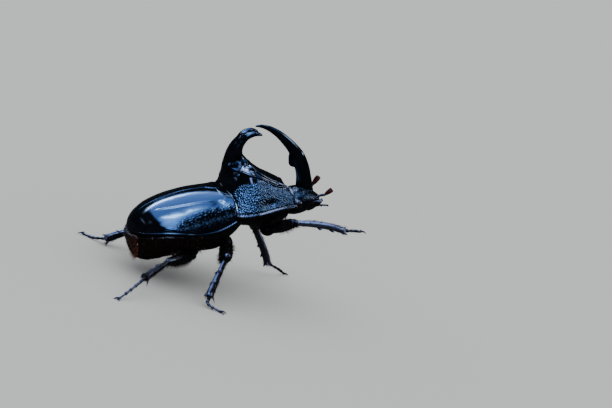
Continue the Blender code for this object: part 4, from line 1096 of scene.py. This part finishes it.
def shin_thorns(leg, pair):
    """Two slanting crests on the outer side and the crown round the far end, and two spurs inside it."""
    along, way = ways_round(leg)
    deep, thorns = TIBIA_DEEP[pair], []
    for share in SHIN_CRESTS:
        for turn, length in CREST_THORNS:
            root = between(leg["knee"], leg["ankle"], share + 0.035 * turn) + way(turn) * deep * 0.48
            thorns.append(thorn(root, way(turn) + along * 0.9, length, 0.2, along * 0.2))
    for turn in np.arange(-1.6, 1.7, 0.4):
        root, length = leg["ankle"] + way(turn) * deep * 0.62 - along * 0.5, 1.15 + 0.15 * math.cos(3 * turn)
        thorns.append(thorn(root, way(turn) * 0.6 + along, length, 0.23, along * 0.15))
    spurs = []
    for turn, length in SHIN_SPURS:
        root = leg["ankle"] + way(turn) * deep * 0.6 - along * 0.4
        spurs.append(thorn(root, way(turn) + along * 0.8, length, 0.2, along * 0.25))
    return thorns, spurs


def shin_form(leg, pair):
    thorns, spurs = fore_shin_thorns(leg) if pair == "fore" else shin_thorns(leg, pair)
    skin = displaced(remeshed([shin_skin(leg, pair), *thorns], 0.1, 3), lambda points: (
        0.03 * pits(points, 0.45, 0.3, 61, 0.6) + 0.012 * noise(points, 0.5, 62)
    ))
    return kept_over_floor(joined([skin, *spurs]))


def kept_over_floor(form):
    """The form with its points below the least height pressed flat at that height over the floor."""
    points, faces = form
    short = LEAST_HEIGHT - pitched(points)[:, 2]
    return points + UPRIGHT * np.maximum(short, 0)[:, None], faces


def hook(toe, along, side):
    """One claw: a thick root and a curved, pointed end."""
    share, radius = columns(CLAW_SHAPE)
    reach = along * CLAW_LENGTH * (0.95 * share - 0.12 * share**2)
    arch = UPRIGHT * (0.341 * np.sin(math.pi * np.maximum(share, 0)) - 0.12 * share)
    path = np.hstack([toe + reach + side * (0.12 + 0.85 * share) + arch, radius, radius * 0.8])
    return swept(smoothed(path, 4), 14, UPRIGHT, 0.6)


def foot_form(leg):
    """Five joints, each narrow at its root and flared at its thorny end, and two claws with bristles."""
    route = smoothed([leg["ankle"], leg["arch"], leg["toe"]], 60)
    last = len(route) - 1
    pieces = []
    for start, end in zip(FOOT_SHARES, FOOT_SHARES[1:]):
        share, radius, last_radius = columns(JOINT_SHAPE)
        radius = last_radius if end == 1.0 else radius
        places = np.rint((start + (end - start + 0.012) * share[:, 0]) * last).astype(int)
        spots = route[np.minimum(places, last)]
        pieces.append(swept(smoothed(np.hstack([spots, radius, radius * 0.92]), 4), 24, leg["plane"], 0.35))
        if end < 1.0:
            tip, along = spots[-2], unit(spots[-1] - spots[-3])
            side = unit(np.cross(along, UPRIGHT))
            for sideways, downward, length in JOINT_THORNS:
                way = unit(side * sideways + np.cross(along, side) * downward)
                pieces.append(thorn(tip + way * 0.3, way * 0.6 + along, length, 0.075, along * 0.1, 7))
    toe, along = leg["toe"], unit(leg["toe"] - leg["arch"])
    side = unit(np.cross(along, UPRIGHT))
    pieces += [hook(toe, along, way) for way in (-side, side)]
    pieces.append(thorn(toe, along + UPRIGHT * 0.1, 0.9, 0.1, UPRIGHT * -0.1, 8))
    for way in (-side, side):
        bristle = along + way * 0.5 + UPRIGHT * 0.2
        pieces.append(thorn(toe + along * 0.8, bristle, 0.8, 0.035, UPRIGHT * -0.2, 5))
    return kept_over_floor(joined(pieces))


def add_leg(name):
    """Hip, thigh, shin and foot of one leg."""
    leg = standing(name)
    pair, word = name.split("_")
    forms = {
        "hip": ("coxa", coxa_form(leg, pair, 1 if word == "left" else -1)),
        "thigh": ("femur", femur_form(leg, pair)),
        "shin": ("tibia", shin_form(leg, pair)),
        "foot": ("tarsus", foot_form(leg)),
    }
    for part, (node, form) in forms.items():
        look = "shin_black" if (part, pair) == ("shin", "fore") else "leg_black"
        add_piece(f"{part}_{name}", form, look, [f"{node}_{name}"])


# Feelers, jaws and palps

# Stalk's route, tip of the club, and the way its leaves fan out
FEELERS = {
    "right": ([(46.6, -3.9, -0.4), (48.2, -5.2, 1.2), (49.8, -5.9, 2.4), (51.3, -6.2, 2.6)],
              (53.2, -6.5, 3.7), (0.5, 0.0, -0.85)),
    "left": ([(46.6, 3.9, -0.4), (48.4, 4.9, 0.4), (50.4, 4.8, 1.2), (51.9, 4.6, 1.8)],
             (53.8, 4.9, 3.6), (0.7, 0.3, -0.6)),
}
FEELER_BEADS = 8
FIRST_JOINT = ((0.0, 0.3), (0.2, 0.34), (0.5, 0.38), (0.8, 0.5), (1.0, 0.42))  # share of its length, radius
LEAF_SHAPE = ((-0.1, 0.22), (0.05, 0.36), (0.3, 0.6), (0.6, 0.7), (0.85, 0.6), (1.0, 0.36))
PALP_SHAPE = ((0.02, 0.7), (0.3, 0.9), (0.75, 1.12), (0.97, 0.9))
# Chin and left jaw: x, y, z, half across, half deep
CHIN = [
    (48.2, 0.0, -2.5, 1.9, 0.55), (49.6, 0.0, -2.3, 1.7, 0.5), (50.8, 0.0, -1.8, 1.3, 0.42),
    (51.5, 0.0, -1.35, 0.8, 0.3),
]
JAW = [
    (48.3, 3.3, -0.8, 0.55, 0.9), (49.6, 3.15, -0.65, 0.55, 0.85), (50.6, 2.95, -0.5, 0.5, 0.7),
    (51.4, 2.6, -0.3, 0.4, 0.5), (51.9, 2.2, 0.0, 0.22, 0.28),
]
# Left palps: route, number of joints, radius
PALPS = [
    ([(50.2, 1.3, -1.9), (51.6, 1.75, -1.75), (52.6, 2.0, -1.85), (53.5, 2.1, -2.1)], 4, 0.25),
    ([(50.9, 0.6, -1.9), (51.6, 0.75, -2.1), (52.2, 0.8, -2.5)], 3, 0.17),
]


def add_feeler(word):
    """Black stalk of a club-shaped first joint and a row of small beads, and a red club of three leaves."""
    stalk, tip, fan = FEELERS[word]
    route = smoothed(stalk, 40)
    last = len(route) - 1
    share, radius = columns(FIRST_JOINT)
    first = np.hstack([route[(share[:, 0] * 0.42 * last).astype(int)], radius, radius])
    pieces = [swept(smoothed(first, 6), 24, (0, 1, 0), 0.7)]
    for bead in range(FEELER_BEADS):
        spot = route[int((0.45 + 0.55 * (bead + 0.5) / FEELER_BEADS) * last)]
        size = 0.3 + 0.012 * bead
        pieces.append(ellipsoid(spot, (size, size * 1.1, size), 20, 12))
    node = ["antenna_" + word]
    add_piece("feeler_stalk_" + word, joined(pieces), "jaw_black", node)
    base, fan = np.array(stalk[-1]), unit(fan)
    along = tip - base
    share, wide = columns(LEAF_SHAPE)
    leaves = []
    for spread in (-1, 0, 1):
        spots = base + along * share * 1.02 + fan * spread * (0.12 + 0.3 * share)
        leaf = np.hstack([spots, wide, 0 * wide + 0.15])
        leaves.append(swept(smoothed(leaf, 6), 28, unit(np.cross(along, fan)), 0.8))
    add_piece("feeler_club_" + word, joined(leaves), "feeler_red", node)


def palp(route, joints, thick):
    """Joints that swell towards their far ends."""
    route = smoothed(route, 30)
    share, swell = columns(PALP_SHAPE)
    pieces = []
    for joint in range(joints):
        spots = route[((joint + share[:, 0]) / joints * (len(route) - 1)).astype(int)]
        path = np.hstack([spots, thick * swell, thick * swell])
        pieces.append(swept(smoothed(path, 5), 18, (0, 1, 0.2), 0.8))
    return pieces


def add_mouth():
    chin = swept(smoothed(CHIN, 12), 56, (0, 1, 0))
    pieces = [displaced(chin, lambda points: 0.06 * pits(points, 0.42, 0.33, 65, 0.8))]
    for side, _ in SIDES:
        for route, joints, thick in PALPS:
            pieces += palp(np.array(route) * (1, side, 1), joints, thick)
    add_piece("chin_and_palps", joined(pieces), "jaw_black", ["mouthparts"])
    for side, word in SIDES:
        jaw = displaced(swept(smoothed(JAW, 14) * (1, side, 1, 1, 1), 44, (0, 1, 0)), lambda points: (
            0.04 * pits(points, 0.4, 0.3, 66, 0.6) + 0.03 * noise(points, 0.5, 67)
        ))
        add_piece("jaw_" + word, jaw, "jaw_black", ["mandible_" + word])
    for word in FEELERS:
        add_feeler(word)


# Hair

HAIR_STEPS = (0.0, 0.4, 0.75, 1.0)
HAIR_POINTS = 3 * len(HAIR_STEPS)
HAIR_DROOP, HAIR_SPREAD, DROOP_SPREAD = 0.3, 0.16, 0.08
HAIR_TAPER = 0.88  # share of its thickness that a hair loses towards its tip
PATCH = 0.003  # size of a tuft's patch of the map
TRUNK_AXIS_HEIGHT, TRUNK_START, TRUNK_LENGTH = -1.0, -2.0, 60.0


def scatter(form, count, weight, seed):
    """Seeded random spots on a form with their outward directions, more of them where the weight is high."""
    corners, (a, b, c), areas = triangles_of(*form)
    share = np.linalg.norm(areas, axis=1) * np.clip(weight((a + b + c) / 3), 0, None)
    rng = np.random.default_rng(seed)
    chosen = rng.choice(len(corners), count, p=share / share.sum())
    u, v = rng.random((2, count))
    u, v = np.where(u + v > 1, 1 - u, u), np.where(u + v > 1, 1 - v, v)
    spots = a[chosen] + (b - a)[chosen] * u[:, None] + (c - a)[chosen] * v[:, None]
    return spots, unit(areas[chosen])


def grown_hairs(spots, outward, lie, length, radius, seed, lift, per_tuft):
    """Tufts of tapered, bent hairs. Returns their points, faces and the tuft of every point."""
    rng = np.random.default_rng(seed)
    tuft = np.repeat(np.arange(len(spots)), per_tuft)
    count = len(tuft)
    out = outward[tuft]
    lie = unit(lie - out * (out @ lie)[:, None])
    way = unit(out * lift + lie * (1 - lift) + rng.normal(0, HAIR_SPREAD, (count, 3)))
    reach = length * rng.uniform(0.55, 1.1, count)[:, None]
    side = unit(np.cross(way, out))
    other = np.cross(way, side)
    sag = lie * HAIR_DROOP + rng.normal(0, DROOP_SPREAD, (count, 3))
    root = spots[tuft] + rng.normal(0, radius * 1.2, (count, 3)) - out * radius
    thick = radius * rng.uniform(0.75, 1.2, count)[:, None]
    turns = np.arange(3) / 3 * 2 * math.pi
    rings = []
    for step in HAIR_STEPS:
        centre = root + way * reach * step + sag * reach * step**2
        width = (thick * (1 - HAIR_TAPER * step))[:, None]
        rings.append(
            centre[:, None]
            + side[:, None] * (width * np.cos(turns)[:, None])
            + other[:, None] * (width * np.sin(turns)[:, None])
        )
    first = (np.arange(count) * HAIR_POINTS)[:, None]
    quads = []
    for low in range(0, HAIR_POINTS - 3, 3):
        for k in range(3):
            after = low + (k + 1) % 3
            quads.append(first + [low + k, after, after + 3, low + 3 + k])
    ends = np.concatenate([first + [2, 1, 0], first + [HAIR_POINTS - 3, HAIR_POINTS - 2, HAIR_POINTS - 1]])
    return np.stack(rings, 1).reshape(-1, 3), [np.concatenate(quads), ends], np.repeat(tuft, HAIR_POINTS)


def around_body(points):
    """Place on the body's own unrolled skin: turn round its length, and the way along it."""
    turn = np.arctan2(points[:, 1], points[:, 2] - TRUNK_AXIS_HEIGHT) / (2 * math.pi) + 0.5
    return np.stack([turn, (points[:, 0] - TRUNK_START) / TRUNK_LENGTH], -1)


def around_limb(start, end):
    """Unrolled skin of a limb between two joints."""
    along = unit(end - start)
    across = unit(np.cross(along, (0.2, 0.3, 0.9)))
    upper = np.cross(along, across)

    def place(points):
        off = points - start
        turn = np.arctan2(off @ upper, off @ across) / (2 * math.pi) + 0.5
        return np.stack([turn, np.clip(off @ along / np.linalg.norm(end - start), 0, 1)], -1)

    return place


def add_hair(name, groups, look):
    """One coat piece of groups of (spots, hairs, unrolled skin), with a small patch of OFBake to a tuft."""
    forms, spreads = [], []
    for spots, (points, faces, tuft), unroll in groups:
        forms.append((points, faces))
        index = np.arange(len(points)) % HAIR_POINTS
        within = np.stack([index % 3 / 2 - 0.5, index // 3 / (len(HAIR_STEPS) - 1) - 0.5], -1) * PATCH
        spreads.append(np.clip(unroll(spots)[tuft], 0.002, 0.998) + within)
    mesh = add_piece(name, kept_over_floor(joined(forms)), look).data
    corners = read(mesh.loops, "vertex_index", np.int32)
    layer = mesh.uv_layers.new(name="OFBake")
    layer.uv.foreach_set("vector", np.vstack(spreads)[corners].astype(np.float32).ravel())


def hair_group(form, count, weight, seed, lie, length, radius, unroll, lift, per_tuft):
    spots, outward = scatter(form, count, weight, seed)
    return spots, grown_hairs(spots, outward, lie, length, radius, seed + 1, lift, per_tuft), unroll


def add_body_hair(trunk):
    def low_side(points):
        return step_up(-points[:, 2], 1.5, 4.0)

    def plate_edges(points):
        return ridge(sternite_phase(points), 0.72, 0.05) * below_brim(points)

    def tail_rim(points):
        return (step_up(points[:, 0], 1.0, 1.8) + 0.15) * (points[:, 2] < -1.0)

    # Look, slot, and groups of plate, count, weight, seed, lie, length, radius, lift and hairs to a tuft
    coats = {
        "belly_hair": ("hair_dark", "brown_shell", [
            ("abdomen", 900, plate_edges, 71, (-1, 0, -0.2), 1.0, 0.03, 0.35, 2),
            ("metathorax", 900, low_side, 73, (-0.4, 0, -1), 1.5, 0.032, 0.5, 3),
        ]),
        "breast_hair": ("hair_dark", "red_brown_shell", [
            ("mesosternum", 420, low_side, 75, (-0.2, 0, -1), 1.6, 0.034, 0.6, 4),
            ("prosternum", 700, low_side, 77, (0.3, 0, -1), 1.5, 0.034, 0.6, 4),
        ]),
        "tail_hair": ("hair_red", "red_brown_shell", [
            ("pygidium", 420, tail_rim, 79, (-0.8, 0, -0.6), 1.3, 0.035, 0.5, 3),
        ]),
    }
    for name, (look, slot, rows) in coats.items():
        groups = [hair_group(trunk[plate], *row[:6], around_body, *row[6:]) for plate, *row in rows]
        add_hair(name, groups, look)


def leg_hair_groups(name, seed):
    """Rows along the thigh's edges, hairs all over the shin and a fringe at its far end."""
    leg = standing(name)
    pair = name.split("_")[0]
    hip, knee, ankle = leg["hip"], leg["knee"], leg["ankle"]
    thigh_way, shin_way = unit(knee - hip), unit(ankle - knee)
    edge = np.cross(thigh_way, leg["plane"])

    def edge_rows(points):
        across, up = (points - hip) @ edge, (points - hip) @ leg["plane"]
        return step_up(np.abs(across / np.maximum(np.hypot(across, up), 1e-6)), 0.75, 0.97) + 0.06

    def everywhere(points):
        return np.ones(len(points))

    def far_end(points):
        return ridge(np.linalg.norm(points - ankle, axis=1), 0.0, 1.2)

    thigh, shin = femur_form(leg, pair), shin_skin(leg, pair)
    round_thigh, round_shin = around_limb(hip, knee), around_limb(knee, ankle)
    return [
        hair_group(thigh, 260, edge_rows, seed, thigh_way, 1.25, 0.034, round_thigh, 0.55, 3),
        hair_group(shin, 110, everywhere, seed + 3, shin_way, 0.95, 0.034, round_shin, 0.35, 2),
        hair_group(shin, 40, far_end, seed + 6, shin_way, 1.1, 0.04, round_shin, 0.3, 2),
    ]


def add_leg_hair():
    groups = []
    for number, name in enumerate(LEGS):
        groups += leg_hair_groups(name, 100 + 10 * number)
    add_hair("leg_hair", groups, "hair_dark")


# Floor, light and camera

FLOOR = (0.62, 0.615, 0.6)
FLOOR_IN_GLOSS = (0.03, 0.035, 0.035)  # how dark the floor shows in the polished shells
FLOOR_RADIUS, FLOOR_HEIGHT = 3.0, -0.00002  # metres
# Soft lamps that show in the shells' gloss: place and half size as shares of the studio ceiling's height,
# lean in degrees, colour, strength, and the share of the size that is evenly lit
CEILING_LAMPS = [
    ((-0.42, 0.5), (0.66, 1.15), -12, (0.3, 0.56, 1.3), 5.5, 0.7),
    ((-0.52, 1.2), (0.88, 0.26), -9, (0.5, 0.72, 1.15), 13.0, 0.1),
    ((-0.52, 1.2), (0.62, 0.1), -9, (0.9, 0.97, 1.05), 32.0, 0.2),
    ((-0.5, 0.08), (0.6, 0.3), -22, (0.56, 0.78, 1.12), 14.0, 0.1),
    ((-0.46, 0.14), (0.42, 0.09), -28, (0.9, 0.97, 1.05), 36.0, 0.2),
    ((-0.8, -0.35), (0.55, 0.45), 0, (0.5, 0.72, 1.15), 10.0, 0.6),
    ((-0.95, -0.95), (0.55, 0.5), 0, (0.42, 0.62, 1.22), 15.0, 0.4),
    ((0.72, -0.45), (0.36, 0.7), 0, (0.26, 0.54, 1.35), 3.2, 0.4),
    ((1.2, -0.3), (0.3, 0.6), 0, (0.85, 0.93, 1.08), 20.0, 0.2),
    ((0.3, 0.1), (0.18, 0.55), 0, (0.6, 0.76, 1.12), 12.0, 0.3),
    ((2.1, 0.0), (0.22, 0.9), 0, (0.9, 0.95, 1.05), 24.0, 0.2),
    ((-2.0, 0.9), (0.3, 0.6), 0, (0.8, 0.9, 1.0), 2.5, 0.1),
    ((-2.3, -2.5), (0.9, 0.9), 0, (0.5, 0.7, 1.15), 4.0, 0.3),
    ((0.0, -1.35), (0.4, 0.4), 0, (0.5, 0.7, 1.15), 4.5, 0.2),
]
HORIZON = (0.01, 0.013, 0.016)
ROOM_LOW = (0.28, 0.29, 0.3)  # diffuse light of the room, from the horizon to overhead
ROOM_HIGH = (1.5, 1.54, 1.58)

LENS, SENSOR = 100.0, 36.0
IMAGE_WIDTH, IMAGE_HEIGHT = 612, 408
CAMERA_TURN, CAMERA_RISE, CAMERA_ROLL = (math.radians(a) for a in (15.4, 20.0, 4.3))
AIM = np.array((24.0, 0.0, 3.0))  # body-frame point and where it shows in the picture
AIM_PIXEL = (214.9, 203.1)
CAMERA_DISTANCE = 430.4


def add_floor():
    turns = np.linspace(0, 2 * math.pi, 65)[:-1]
    rim = [(math.cos(turn) * FLOOR_RADIUS, math.sin(turn) * FLOOR_RADIUS, FLOOR_HEIGHT) for turn in turns]
    mesh = bpy.data.meshes.new("studio_floor")
    mesh.from_pydata(rim, [], [list(range(len(rim)))])
    material, tree, shader = new_material("floor_paper")
    gloss_ray = wired(tree, "LightPath", "Is Glossy Ray", {})
    tone = toned(tree, gloss_ray, FLOOR, FLOOR_IN_GLOSS)
    feed(tree, shader, {"Base Color": tone, "Roughness": 0.9, "Specular IOR Level": 0.0})
    mesh.materials.append(material)
    floor = bpy.data.objects.new("studio_floor", mesh)
    bpy.context.scene.collection.objects.link(floor)


def add_world():
    """Even room light over the floor, and soft lamps in a dark ceiling for the gloss of the shells."""
    world = bpy.data.worlds.new("studio_dome")
    world.use_nodes = True
    tree = world.node_tree
    way = wired(tree, "TexCoord", "Generated", {})
    rise = wired(tree, "SeparateXYZ", "Z", {"Vector": way})
    height = wired(tree, "Math", "Value", {0: rise, 1: 0.02}, operation="MAXIMUM")
    onto_ceiling = wired(tree, "VectorMath", "Vector", {0: way, 1: height}, operation="DIVIDE")
    room = toned(tree, rise, ROOM_LOW, ROOM_HIGH)
    dark = wired(tree, "RGB", "Color", {})
    dark.default_value = (*HORIZON, 1)
    total = dark
    for place, size, lean, colour, strength, even in CEILING_LAMPS:
        spot = {"Location": (*place, 1.0), "Rotation": (0, 0, math.radians(lean)), "Scale": (*size, 1.0)}
        lamp = wired(tree, "Mapping", "Vector", {"Vector": onto_ceiling, **spot}, vector_type="TEXTURE")
        off_centre = wired(tree, "VectorMath", "Value", {0: lamp}, operation="LENGTH")
        fade = {"Value": off_centre, "From Min": 1.0, "From Max": even}
        glow = wired(tree, "MapRange", "Result", fade, interpolation_type="SMOOTHSTEP")
        light = {0: glow, 1: [channel * strength for channel in colour], 2: total}
        total = wired(tree, "VectorMath", "Vector", light, operation="MULTIPLY_ADD")
    lamps = tree.nodes["Background"]
    feed(tree, lamps, {"Color": total})
    even_light = wired(tree, "Background", "Background", {"Color": room})
    gloss_ray = wired(tree, "LightPath", "Is Glossy Ray", {})
    lights = {0: gloss_ray, 1: even_light, 2: lamps.outputs["Background"]}
    feed(tree, tree.nodes["World Output"], {"Surface": wired(tree, "MixShader", "Shader", lights)})
    world.cycles.sampling_method = "MANUAL"
    world.cycles.sample_map_resolution = 1024
    bpy.context.scene.world = world


def add_camera():
    """Camera at the photograph's angle to the body, with the aim point at its place in the picture."""
    turn, rise = CAMERA_TURN, CAMERA_RISE
    back = np.array((-math.sin(turn) * math.cos(rise), -math.cos(turn) * math.cos(rise), math.sin(rise)))
    level = np.array((math.cos(turn), -math.sin(turn), 0.0))
    upright = np.cross(back, level)
    right = level * math.cos(CAMERA_ROLL) - upright * math.sin(CAMERA_ROLL)
    up = level * math.sin(CAMERA_ROLL) + upright * math.cos(CAMERA_ROLL)
    place = AIM + back * CAMERA_DISTANCE
    pixels = LENS / SENSOR * IMAGE_WIDTH
    across = (AIM_PIXEL[0] - IMAGE_WIDTH / 2) / pixels
    down = (AIM_PIXEL[1] - IMAGE_HEIGHT / 2) / pixels
    back = unit(back + right * across - up * down)
    right = unit(right - back * (right @ back))
    axes = pitched([right, np.cross(back, right), back]) - pitched((0, 0, 0))
    data = bpy.data.cameras.new("camera")
    data.lens, data.sensor_width = LENS, SENSOR
    data.clip_start, data.clip_end = 0.01, 20.0
    camera = bpy.data.objects.new("camera", data)
    camera.matrix_world = Matrix.Translation(Vector(to_world(place))) @ Matrix(axes.T.tolist()).to_4x4()
    bpy.context.scene.collection.objects.link(camera)
    bpy.context.scene.camera = camera


add_elytra()
add_pronotum()
add_head()
trunk = add_trunk()
add_mouth()
for leg_name in LEGS:
    add_leg(leg_name)
add_body_hair(trunk)
add_leg_hair()
add_floor()
add_world()
add_camera()
